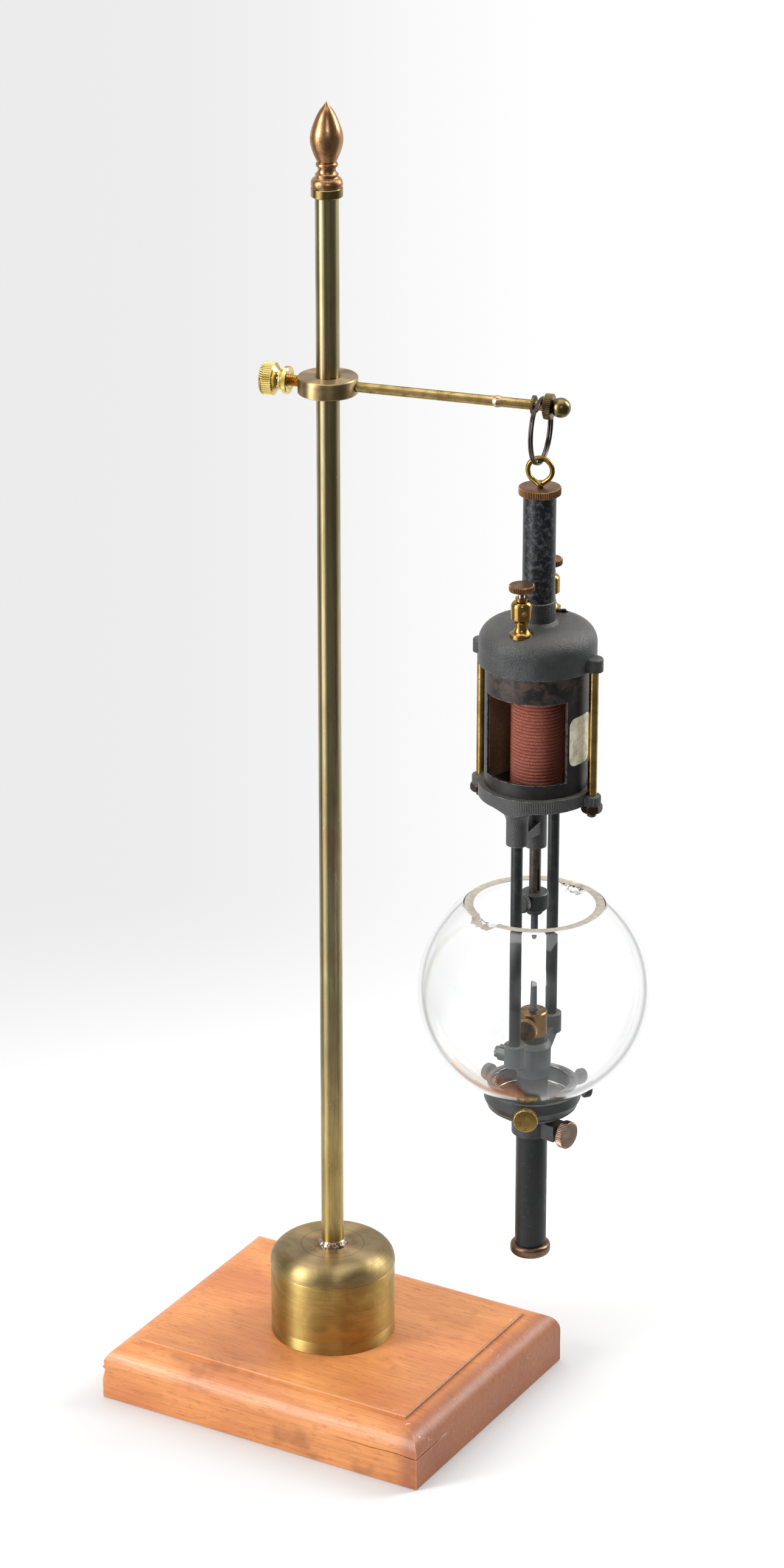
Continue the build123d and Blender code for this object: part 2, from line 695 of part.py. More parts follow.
def bottom_casting():
    """Cast bottom plate: tie-rod lugs, a flared leg boss at each side rod, and a webbed guide boss."""
    plate = rod(PLATE_R, PLATE_BOTTOM, PLATE_TOP)
    leg_top = PLATE_BOTTOM + 1
    flare_r = LEG_BOSS_R + LEG_FLARE
    flare_low = PLATE_BOTTOM - LEG_FLARE
    bend = LEG_FLARE * sin(radians(45))
    flare = turned_edges(
        Line((0, flare_low), (LEG_BOSS_R, flare_low)),
        ThreePointArc((LEG_BOSS_R, flare_low), (flare_r - bend, flare_low + bend), (flare_r, PLATE_BOTTOM)),
        Line((flare_r, PLATE_BOTTOM), (0, PLATE_BOTTOM)),
        Line((0, PLATE_BOTTOM), (0, flare_low)),
    )
    for y, low in ((-SIDE_ROD_Y, LEG_BOSS_BOTTOM), (SIDE_ROD_Y, REAR_BOSS_BOTTOM)):
        plate += rod(LEG_BOSS_R, low, leg_top, 0, y)
        plate += Pos(0, y, 0) * flare & rod(PLATE_R, flare_low, PLATE_BOTTOM)
    plate += rod(GUIDE_BOSS_R, GUIDE_BOSS_BOTTOM, leg_top)
    web_height = leg_top - WEB_LEDGE_Z
    plate += Pos(0, 0, WEB_LEDGE_Z + web_height / 2) * Box(WEB_THICK, 2 * SIDE_ROD_Y, web_height)
    ledge = Polyline(
        (-SIDE_ROD_Y, LEG_BOSS_BOTTOM + 2),
        (0, GUIDE_BOSS_BOTTOM + 6),
        (SIDE_ROD_Y, REAR_BOSS_BOTTOM + 1),
        (SIDE_ROD_Y, WEB_LEDGE_Z + 1),
        (-SIDE_ROD_Y, WEB_LEDGE_Z),
        close=True,
    )
    plate += extrude(Plane.YZ * make_face(ledge), WEB_LEDGE / 2, both=True)
    for side in (1, -1):
        plate += lug(LOWER_LUG_BOTTOM, LOWER_LUG_TOP, side)
    plate -= rod(HOUSING_R + SEAT, HOUSING_BOTTOM - SEAT, PLATE_TOP + 1)
    plate -= rod(FEED_ROD_R + RUN, GUIDE_BOSS_BOTTOM - 1, HOUSING_BOTTOM + 1)
    for y in (-SIDE_ROD_Y, SIDE_ROD_Y):
        plate -= rod(SIDE_ROD_R + SEAT, LEG_BOSS_BOTTOM - 8, SIDE_ROD_TOP + SEAT, 0, y)
    for side in (1, -1):
        plate -= rod(TIE_ROD_R + SEAT, LOWER_LUG_BOTTOM - 1, PLATE_TOP + 1, side * LUG_REACH)
    return plate


def tie_rods():
    top = UPPER_LUG_TOP - TIE_ROD_BLIND
    return Compound([rod(TIE_ROD_R, TIE_ROD_END, top, side * LUG_REACH) for side in (1, -1)])


def tie_rod_nuts():
    top = LOWER_LUG_BOTTOM
    low = top - ROD_NUT_HEIGHT
    nut = hexagon(ROD_NUT_FLATS, low, top) - rod(TIE_ROD_R + SEAT, low - 1, top + 1)
    return Compound([Pos(side * LUG_REACH, 0, 0) * nut for side in (1, -1)])


def side_rods():
    bottoms = {-SIDE_ROD_Y: FRONT_SOCKET_BOTTOM + SOCKET_FLOOR, SIDE_ROD_Y: REAR_SOCKET_BOTTOM + SOCKET_FLOOR}
    return Compound([rod(SIDE_ROD_R, low, SIDE_ROD_TOP, 0, y) for y, low in bottoms.items()])


def feed_rod():
    return rod(FEED_ROD_R, CLAMP_STEP_Z, FEED_ROD_TOP)


def upper_carbon_clamp():
    """Socket that joins the feed rod above to the carbon below."""
    blank = rod(UPPER_CLAMP_R, UPPER_CLAMP_BOTTOM, UPPER_CLAMP_TOP)
    blank = chamfer(blank.edges().group_by(Axis.Z)[0], 1.2)
    blank = chamfer(blank.edges().group_by(Axis.Z)[-1], 0.4)
    blank += rod(UPPER_CLAMP_NOSE_R, UPPER_CLAMP_BOTTOM - UPPER_CLAMP_NOSE, UPPER_CLAMP_BOTTOM + 1)
    blank -= rod(FEED_ROD_R + SEAT, CLAMP_STEP_Z, UPPER_CLAMP_TOP + 1)
    blank -= rod(CARBON_R + SEAT, UPPER_CLAMP_BOTTOM - 2, CLAMP_STEP_Z + 0.1)
    screw_hole = rod(CLAMP_SCREW_R + RUN, 0, UPPER_CLAMP_R)
    return blank - along(UPPER_SCREW_YAW, UPPER_SCREW_Z, FEED_ROD_R) * screw_hole


def carbon_screw(head_r, shank):
    return knob(head_r, CLAMP_SCREW_HEAD, CLAMP_SCREW_NECK_R, CLAMP_SCREW_NECK, CLAMP_SCREW_R, shank)


def upper_clamp_screw():
    start = FEED_ROD_R + RUN
    screw = carbon_screw(UPPER_SCREW_HEAD_R, UPPER_CLAMP_R + 0.4 - start)
    return along(UPPER_SCREW_YAW, UPPER_SCREW_Z, start) * screw


def upper_carbon():
    top = CLAMP_STEP_Z - GAP
    tip = UPPER_CARBON_TIP
    return turned((0, tip), (0.7, tip), (CARBON_R, tip + 2.2), (CARBON_R, top), (0, top))


# ---- lower carbon, yoke and tail ----


def lower_carbon_holder():
    """Round brass holder with bevelled edges, on a short spigot."""
    blank = chamfer(rod(HOLDER_R, HOLDER_BOTTOM, HOLDER_TOP).edges(), 0.5)
    blank += rod(HOLDER_SPIGOT_R, YOKE_TOP - HOLDER_SPIGOT, HOLDER_BOTTOM + 1)
    blank -= rod(CARBON_R + 0.4, HOLDER_BOTTOM - 1, HOLDER_TOP + 1)
    return blank - along(LOWER_SCREW_YAW, LOWER_SCREW_Z, CARBON_R) * rod(CLAMP_SCREW_R + RUN, 0, HOLDER_R)


def holder_seat_ring():
    return ring(HOLDER_R - 0.5, HOLDER_SPIGOT_R + SEAT, YOKE_TOP, HOLDER_BOTTOM)


def lower_holder_screw():
    start = CARBON_R + RUN
    screw = carbon_screw(LOWER_SCREW_HEAD_R, HOLDER_R + 0.5 - start)
    return along(LOWER_SCREW_YAW, LOWER_SCREW_Z, start) * screw


def lower_carbon():
    """Worn, slanting stub with an oblique broken end."""
    low = HOLDER_BOTTOM
    stub = Pos(0, 0, (low + HOLDER_TOP) / 2) * Cylinder(CARBON_R, HOLDER_TOP - low)
    worn_height = LOWER_CARBON_TOP - HOLDER_TOP + 1
    worn = Pos(0, 0, HOLDER_TOP) * loft([Circle(CARBON_R), Pos(0.25, -0.1, worn_height) * Circle(1.25)])
    cut = Pos(0, 0, LOWER_CARBON_TOP + 3.0) * Rot(0, 22, 0) * Box(20, 20, 6)
    return stub + worn - cut


def yoke_arm(end, socket_bottom):
    """Cranked arm from the yoke's hub up to a side rod's socket."""
    side = 1 if end > 0 else -1
    outline = Polyline(
        (0, YOKE_BOTTOM + 2),
        (side * 9, YOKE_BOTTOM + 4.5),
        (end, socket_bottom + 1),
        (end, socket_bottom + 4),
        (end - side * 7, socket_bottom + 3),
        (side * 7, YOKE_TOP - 2),
        (0, YOKE_TOP - 2),
        close=True,
    )
    return extrude(Plane.YZ * make_face(outline), YOKE_ARM_WIDTH / 2, both=True)


def yoke():
    """Cast cross-piece: hub on the tail tube, a split front socket and a plain rear socket."""
    hub = turned(
        (0, YOKE_BOTTOM - 9),
        (TAIL_TUBE_BORE_R - SEAT, YOKE_BOTTOM - 9),
        (TAIL_TUBE_BORE_R - SEAT, YOKE_BOTTOM),
        (TAIL_TUBE_R + 0.2, YOKE_BOTTOM),
        (YOKE_HUB_R, YOKE_BOTTOM + 5),
        (YOKE_HUB_R, YOKE_TOP - 2),
        (YOKE_HUB_R - 1.4, YOKE_TOP),
        (0, YOKE_TOP),
    )
    front = rod(SOCKET_ROD_R, FRONT_SOCKET_BOTTOM, FRONT_SOCKET_TOP, 0, -SIDE_ROD_Y)
    front += yoke_arm(-SIDE_ROD_Y - 1, FRONT_SOCKET_BOTTOM)
    front += Pos(0, -SIDE_ROD_Y, 0) * along(180, PINCH_Z) * rod(PINCH_BOSS_R, 2, PINCH_START + PINCH_LENGTH)
    rear = rod(SOCKET_ROD_R, REAR_SOCKET_BOTTOM, REAR_SOCKET_TOP, 0, SIDE_ROD_Y)
    rear += yoke_arm(SIDE_ROD_Y + 3, REAR_SOCKET_BOTTOM)
    body = hub + front + rear
    body -= rod(HOLDER_SPIGOT_R + SEAT, YOKE_TOP - HOLDER_SPIGOT - SEAT, YOKE_TOP + 1)
    for y, low, high in (
        (-SIDE_ROD_Y, FRONT_SOCKET_BOTTOM, FRONT_SOCKET_TOP),
        (SIDE_ROD_Y, REAR_SOCKET_BOTTOM, REAR_SOCKET_TOP),
    ):
        body -= rod(SIDE_ROD_R + SEAT, low + SOCKET_FLOOR - SEAT, high + 1, 0, y)
    body -= Pos(-4, -SIDE_ROD_Y - 1.6, PINCH_Z + 2) * Box(8, SOCKET_SLIT, 14)
    screw_hole = rod(PINCH_R + SEAT, 0, PINCH_LENGTH + 1)
    return body - Pos(0, -SIDE_ROD_Y, 0) * along(180, PINCH_Z, PINCH_START) * screw_hole


def yoke_screw():
    """Cheese-head pinch screw with a driver slot, in the front socket."""
    head_top = PINCH_LENGTH + PINCH_HEAD
    screw = rod(PINCH_R, 0, PINCH_LENGTH) + rod(PINCH_HEAD_R, PINCH_LENGTH, head_top)
    screw -= Pos(0, 0, head_top) * Box(PINCH_SLOT_WIDTH, 3 * PINCH_HEAD_R, 2 * PINCH_SLOT_DEPTH)
    return Pos(0, -SIDE_ROD_Y, 0) * along(180, PINCH_Z, PINCH_START) * screw


def tail_tube():
    return ring(TAIL_TUBE_R, TAIL_TUBE_BORE_R, TAIL_CAP_BOTTOM + TAIL_CAP_FLOOR, YOKE_BOTTOM)


def tail_cap():
    blank = rod(TAIL_CAP_R, TAIL_CAP_BOTTOM, TAIL_CAP_TOP)
    blank = fillet(blank.edges(), 1.6)
    return blank - rod(TAIL_TUBE_R + RUN, TAIL_CAP_BOTTOM + TAIL_CAP_FLOOR - GAP, TAIL_CAP_TOP + 1)


# ---- globe and gallery ----


def globe():
    """Clear globe open at top and bottom, with a short neck that the gallery screws grip."""
    inner_r = GLOBE_R - GLOBE_WALL
    rim_rise = sqrt(GLOBE_R**2 - GLOBE_RIM_R**2)
    rim_z = GLOBE_CENTRE_Z + rim_rise
    rim_inner = sqrt(inner_r**2 - rim_rise**2)
    neck_inner = GLOBE_NECK_R - GLOBE_WALL
    neck_z = GLOBE_CENTRE_Z - sqrt(GLOBE_R**2 - GLOBE_NECK_R**2)
    neck_inner_z = GLOBE_CENTRE_Z - sqrt(inner_r**2 - neck_inner**2)
    return turned_edges(
        ThreePointArc((GLOBE_RIM_R, rim_z), (GLOBE_R, GLOBE_CENTRE_Z), (GLOBE_NECK_R, neck_z)),
        Line((GLOBE_NECK_R, neck_z), (GLOBE_NECK_R, GLOBE_NECK_BOTTOM)),
        Line((GLOBE_NECK_R, GLOBE_NECK_BOTTOM), (neck_inner, GLOBE_NECK_BOTTOM)),
        Line((neck_inner, GLOBE_NECK_BOTTOM), (neck_inner, neck_inner_z)),
        ThreePointArc((neck_inner, neck_inner_z), (inner_r, GLOBE_CENTRE_Z), (rim_inner, rim_z)),
        Line((rim_inner, rim_z), (GLOBE_RIM_R, rim_z)),
    )


def gallery():
    """Turned bowl that slides on the tail tube and carries the globe."""
    bowl_edge = GALLERY_TOP - 4.4
    bowl = turned_edges(
        Line((0, GALLERY_HUB_BOTTOM), (GALLERY_HUB_R, GALLERY_HUB_BOTTOM)),
        Line((GALLERY_HUB_R, GALLERY_HUB_BOTTOM), (GALLERY_HUB_R, GALLERY_BOWL_BOTTOM)),
        ThreePointArc(
            (GALLERY_HUB_R, GALLERY_BOWL_BOTTOM),
            (15.6, GALLERY_BOWL_BOTTOM + 2.6),
            (GALLERY_R, bowl_edge),
        ),
        Line((GALLERY_R, bowl_edge), (GALLERY_R, GALLERY_TOP)),
        Line((GALLERY_R, GALLERY_TOP), (GALLERY_INNER_R, GALLERY_TOP)),
        Line((GALLERY_INNER_R, GALLERY_TOP), (GALLERY_INNER_R, GALLERY_FLOOR + 1)),
        Line((GALLERY_INNER_R, GALLERY_FLOOR + 1), (GALLERY_INNER_R - 1, GALLERY_FLOOR)),
        Line((GALLERY_INNER_R - 1, GALLERY_FLOOR), (0, GALLERY_FLOOR)),
        Line((0, GALLERY_FLOOR), (0, GALLERY_HUB_BOTTOM)),
    )
    bowl += along(GALLERY_SCREW_YAW, GALLERY_SCREW_Z, 9.5) * Box(7, 7.6, 9)
    bowl -= rod(TAIL_TUBE_R + RUN, GALLERY_HUB_BOTTOM - 1, GALLERY_FLOOR + 1)
    bowl -= along(GALLERY_SCREW_YAW, GALLERY_SCREW_Z, TAIL_TUBE_R) * rod(GALLERY_SCREW_R + RUN, 0, 9)
    for yaw in GLOBE_SCREW_YAWS:
        bowl -= along(yaw, GLOBE_SCREW_Z, GALLERY_INNER_R - 1) * rod(GLOBE_SCREW_R + RUN, 0, 5)
    return bowl


def gallery_screw():
    start = TAIL_TUBE_R + RUN
    shank = GALLERY_SCREW_FACE - GALLERY_SCREW_NECK - start
    screw = knob(
        GALLERY_SCREW_HEAD_R,
        GALLERY_SCREW_HEAD,
        GALLERY_SCREW_NECK_R,
        GALLERY_SCREW_NECK,
        GALLERY_SCREW_R,
        shank,
    )
    return along(GALLERY_SCREW_YAW, GALLERY_SCREW_Z, start) * screw


def globe_screw(yaw):
    start = GLOBE_NECK_R + RUN
    screw = knob(
        GLOBE_SCREW_HEAD_R,
        GLOBE_SCREW_HEAD,
        GLOBE_SCREW_NECK_R,
        GLOBE_SCREW_NECK,
        GLOBE_SCREW_R,
        GLOBE_SCREW_SHANK_END - start,
    )
    return along(yaw, GLOBE_SCREW_Z, start) * screw


def lead_wires():
    """Two cotton-covered leads: from the front terminal's nut, and from the rear one out of its hole."""
    coil_top = BOBBIN_HIGH + LEAD_R + SEAT
    front = (POST_REACH * cos(radians(FRONT_POST_YAW)) + 3.6, POST_REACH * sin(radians(FRONT_POST_YAW)))
    hole = lead_hole_place.position
    foot_z = rear_post_seat + 1.5 + LEAD_R + SEAT
    paths = [
        Spline(
            (front[0], front[1], TOP_CASTING_CAVITY_Z - 1.2),
            (5.4, -13.4, LEAD_BEND_Z),
            (3.0, -11.0, coil_top),
        ),
        Spline(
            (hole.X, hole.Y, TOP_CASTING_Z + 1.2),
            (hole.X + 0.2, hole.Y - 0.2, TOP_CASTING_CAVITY_Z),
            (4.6, 13.0, LEAD_BEND_Z - 1),
            (3.0, 10.6, coil_top),
        ),
    ]
    return Compound([sweep(Plane(path @ 0, z_dir=path % 0) * Circle(LEAD_R), path) for path in paths])


stand = {
    "wooden_base": wooden_base,
    "base_drum": base_drum,
    "base_ballast": base_ballast,
    "base_cap": base_cap,
    "pillar_tube": pillar_tube,
    "pillar_ferrule": pillar_ferrule,
    "finial_collar": finial_collar,
    "finial": finial,
    "bracket_liner": bracket_liner,
    "bracket_collar": bracket_collar,
    "clamp_stud": clamp_stud,
    "clamp_thumb_nut": clamp_thumb_nut,
    "arm_rod": arm_rod,
    "arm_tip": arm_tip,
    "arm_washer": arm_washer,
    "arm_nut": arm_nut,
    "arm_ball": arm_ball,
    "split_ring": split_ring,
    "lamp_eye": lamp_eye,
}

lamp = {
    "top_cap": top_cap,
    "top_tube": top_tube,
    "top_casting": top_casting,
    "post_insulator": post_insulator,
    "post_nuts": post_nuts,
    "lead_wires": lead_wires,
    "housing_tube": housing_tube,
    "housing_label": housing_label,
    "coil_bobbin": coil_bobbin,
    "coil_winding": coil_winding,
    "solenoid_core": solenoid_core,
    "clutch_ring": clutch_ring,
    "bottom_casting": bottom_casting,
    "tie_rods": tie_rods,
    "tie_rod_nuts": tie_rod_nuts,
    "side_rods": side_rods,
    "feed_rod": feed_rod,
    "upper_carbon_clamp": upper_carbon_clamp,
    "upper_clamp_screw": upper_clamp_screw,
    "upper_carbon": upper_carbon,
    "lower_carbon_holder": lower_carbon_holder,
    "holder_seat_ring": holder_seat_ring,
    "lower_holder_screw": lower_holder_screw,
    "lower_carbon": lower_carbon,
    "yoke": yoke,
    "yoke_screw": yoke_screw,
    "tail_tube": tail_tube,
    "tail_cap": tail_cap,
    "globe": globe,
    "gallery": gallery,
    "gallery_screw": gallery_screw,
}

for name, build in stand.items():
    save(build(), name)
for name, build in lamp.items():
    save(on_lamp(build()), name)

for name, place, seat, shank_end in (
    ("front", front_post_place, front_post_seat, TOP_CASTING_CAVITY_Z - 2.4),
    ("rear", rear_post_place, rear_post_seat, TOP_CASTING_CAVITY_Z - 3.0),
):
    save(on_lamp(place * binding_post(seat, shank_end)), f"binding_post_{name}")
    save(on_lamp(place * binding_screw(seat)), f"binding_screw_{name}")

for number, yaw in enumerate(GLOBE_SCREW_YAWS, 1):
    save(on_lamp(globe_screw(yaw)), f"globe_screw_{number}")
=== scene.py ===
"""Looks for a miniature arc lamp hung from a brass pillar stand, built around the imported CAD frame.

Outlines and local sizes are in millimetres; MM turns them into the frame's metres. Places come from the
frame's joints and from the extents of its nodes.
"""

import json
from math import atan2, ceil, cos, hypot, pi, radians, sin, sqrt

import bmesh
import bpy
from mathutils import Matrix, Vector, noise


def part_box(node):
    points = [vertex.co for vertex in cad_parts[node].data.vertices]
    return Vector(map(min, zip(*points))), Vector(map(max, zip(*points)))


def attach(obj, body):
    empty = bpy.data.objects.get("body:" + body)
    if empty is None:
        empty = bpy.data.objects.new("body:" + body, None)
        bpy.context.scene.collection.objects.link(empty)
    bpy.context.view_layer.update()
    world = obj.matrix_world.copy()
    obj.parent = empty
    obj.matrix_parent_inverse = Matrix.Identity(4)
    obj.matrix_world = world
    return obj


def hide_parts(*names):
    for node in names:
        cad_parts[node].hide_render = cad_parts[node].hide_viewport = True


MM = 0.001
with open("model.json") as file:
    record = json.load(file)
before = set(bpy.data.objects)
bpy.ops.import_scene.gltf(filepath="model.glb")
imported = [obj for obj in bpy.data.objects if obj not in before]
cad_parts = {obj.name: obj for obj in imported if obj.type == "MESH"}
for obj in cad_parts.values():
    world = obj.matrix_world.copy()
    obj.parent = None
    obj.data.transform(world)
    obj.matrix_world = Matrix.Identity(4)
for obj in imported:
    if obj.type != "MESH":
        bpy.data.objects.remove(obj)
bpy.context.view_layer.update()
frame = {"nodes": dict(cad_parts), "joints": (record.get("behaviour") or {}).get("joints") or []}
joints = {joint["name"]: joint for joint in frame["joints"]}
nodes = frame["nodes"]

LAMP_YAW = radians(3)  # the lamp's own X from the base's X
LAMP_AXIS = Vector(joints["lamp_swivel"]["pos_m"])
ARM = Vector(joints["ring_swing"]["axis"])


# ---- places ----


def axis_place(origin, axis):
    """Frame with Z along an axis and X as near upright as it can be."""
    z = Vector(axis).normalized()
    x = Vector((0, 0, 1)) - z * z.z
    if x.length < 0.01:
        x = Vector((1, 0, 0))
    x.normalize()
    place = Matrix((x, z.cross(x), z)).transposed().to_4x4()
    place.translation = Vector(origin)
    return place


def joint_place(name):
    joint = joints[name]
    return axis_place(joint["pos_m"], joint["axis"])


def lamp_place(x=0.0, y=0.0, z=0.0, turn=0.0):
    """Upright frame in the lamp's own axes, at a place in millimetres."""
    lamp = Matrix.Translation((LAMP_AXIS.x, LAMP_AXIS.y, 0)) @ Matrix.Rotation(LAMP_YAW, 4, "Z")
    return lamp @ Matrix.Translation(Vector((x, y, z)) * MM) @ Matrix.Rotation(turn, 4, "Z")


def extent(node, place=Matrix.Identity(4)):
    """Lowest and highest reach of a node along a place's Z, and its radius about it, in millimetres."""
    inverse = place.inverted()
    points = [inverse @ v.co / MM for v in nodes[node].data.vertices]
    heights = [p.z for p in points]
    return min(heights), max(heights), max(hypot(p.x, p.y) for p in points)


# ---- outlines ----


def soften(points, radius, cuts=3):
    """Outline with its corners off the axis rounded."""
    result = [points[0]]
    for before, here, after in zip(points, points[1:], points[2:]):
        back, ahead = Vector(before) - Vector(here), Vector(after) - Vector(here)
        reach = min(radius, back.length * 0.45, ahead.length * 0.45)
        start = Vector(here) + back.normalized() * reach
        end = Vector(here) + ahead.normalized() * reach
        for k in range(cuts + 1):
            t = k / cuts
            result.append(tuple(start * (1 - t) ** 2 + Vector(here) * 2 * t * (1 - t) + end * t * t))
    return result + [points[-1]]


def refine(points, step):
    """Outline with no segment longer than a step."""
    result = [points[0]]
    for a, b in zip(points, points[1:]):
        parts = max(1, ceil(hypot(b[0] - a[0], b[1] - a[1]) / step))
        for k in range(1, parts + 1):
            result.append((a[0] + (b[0] - a[0]) * k / parts, a[1] + (b[1] - a[1]) * k / parts))
    return result


def rough(x, y, z, size, seed=0.0):
    """Smooth repeatable noise, about -1 to 1, at a place and grain size in millimetres."""
    return noise.noise(Vector((x, y, z)) / size + Vector((seed, 1.7 * seed, -seed)))


def bulge(value, low, high):
    """Smooth 0 to 1 step."""
    t = min(1.0, max(0.0, (value - low) / (high - low)))
    return t * t * (3 - 2 * t)


# ---- meshes ----


def lathe(outline, steps=96, shape=None, ring=False):
    """Outline of (radius, height) turned about Z. shape(r, z, angle) may move each point."""
    vertices, rows = [], []
    for r, z in outline:
        turns = 1 if r < 1e-6 else steps
        rows.append(range(len(vertices), len(vertices) + turns))
        for k in range(turns):
            angle = 2 * pi * k / steps
            radius, height = shape(r, z, angle) if shape and turns > 1 else (r, z)
            vertices.append((radius * cos(angle), radius * sin(angle), height))
    faces = []
    for low, high in list(zip(rows, rows[1:])) + ([(rows[-1], rows[0])] if ring else []):
        for k in range(steps):
            after = (k + 1) % steps
            corners = [low[k % len(low)], low[after % len(low)], high[after % len(high)], high[k % len(high)]]
            face = list(dict.fromkeys(corners))
            if len(face) > 2:
                faces.append(face)
    return vertices, faces


def sweep(points, radius, sides=14):
    """Round wire through points. radius may be a function of the share of the way along."""
    points = [Vector(p) for p in points]
    count = len(points)
    size = radius if callable(radius) else lambda t: radius
    normal = None
    vertices, faces = [], []
    for i, point in enumerate(points):
        before, after = points[max(0, i - 1)], points[min(count - 1, i + 1)]
        ahead = (after - before).normalized()
        if normal is None:
            normal = ahead.orthogonal().normalized()
        normal = (normal - ahead * normal.dot(ahead)).normalized()
        other = ahead.cross(normal)
        for k in range(sides):
            angle = 2 * pi * k / sides
            vertices.append(point + (normal * cos(angle) + other * sin(angle)) * size(i / (count - 1)))
    for i in range(count - 1):
        for k in range(sides):
            n = (k + 1) % sides
            faces.append([i * sides + k, i * sides + n, (i + 1) * sides + n, (i + 1) * sides + k])
    faces.append(list(range(sides))[::-1])
    faces.append(list(range((count - 1) * sides, count * sides)))
    return vertices, faces


def joined(*parts):
    """One mesh from several (vertices, faces) pairs."""
    vertices, faces = [], []
    for more_vertices, more_faces in parts:
        start = len(vertices)
        vertices += list(more_vertices)
        faces += [[start + i for i in face] for face in more_faces]
    return vertices, faces


def moved(mesh, x=0.0, y=0.0, z=0.0):
    vertices, faces = mesh
    return [Vector(v) + Vector((x, y, z)) for v in vertices], faces


def piece(name, mesh, paint, body, replaces=(), place=Matrix.Identity(4), sharp=35, extra=None):
    """Shown piece from a mesh in millimetres. paint and extra name entries of PAINTS."""
    vertices, faces = mesh
    data = bpy.data.meshes.new(name)
    data.from_pydata([place @ (Vector(v) * MM) for v in vertices], [], faces)
    work = bmesh.new()
    work.from_mesh(data)
    bmesh.ops.recalc_face_normals(work, faces=work.faces)
    work.to_mesh(data)
    work.free()
    data.materials.append(PAINTS[paint])
    if extra:
        data.materials.append(PAINTS[extra[0]])
        for polygon in data.polygons:
            polygon.material_index = int(extra[1](polygon.center))
    data.polygons.foreach_set("use_smooth", [True] * len(data.polygons))
    data.set_sharp_from_angle(angle=radians(sharp))
    obj = bpy.data.objects.new(name, data)
    bpy.context.scene.collection.objects.link(obj)
    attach(obj, body)
    if replaces:
        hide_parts(*replaces)
    return obj


# ---- paint ----


def ink(code):
    """Linear colour from a web colour."""
    values = [int(code[i:i + 2], 16) / 255 for i in (0, 2, 4)]
    return [v / 12.92 if v < 0.04045 else ((v + 0.055) / 1.055) ** 2.4 for v in values] + [1.0]


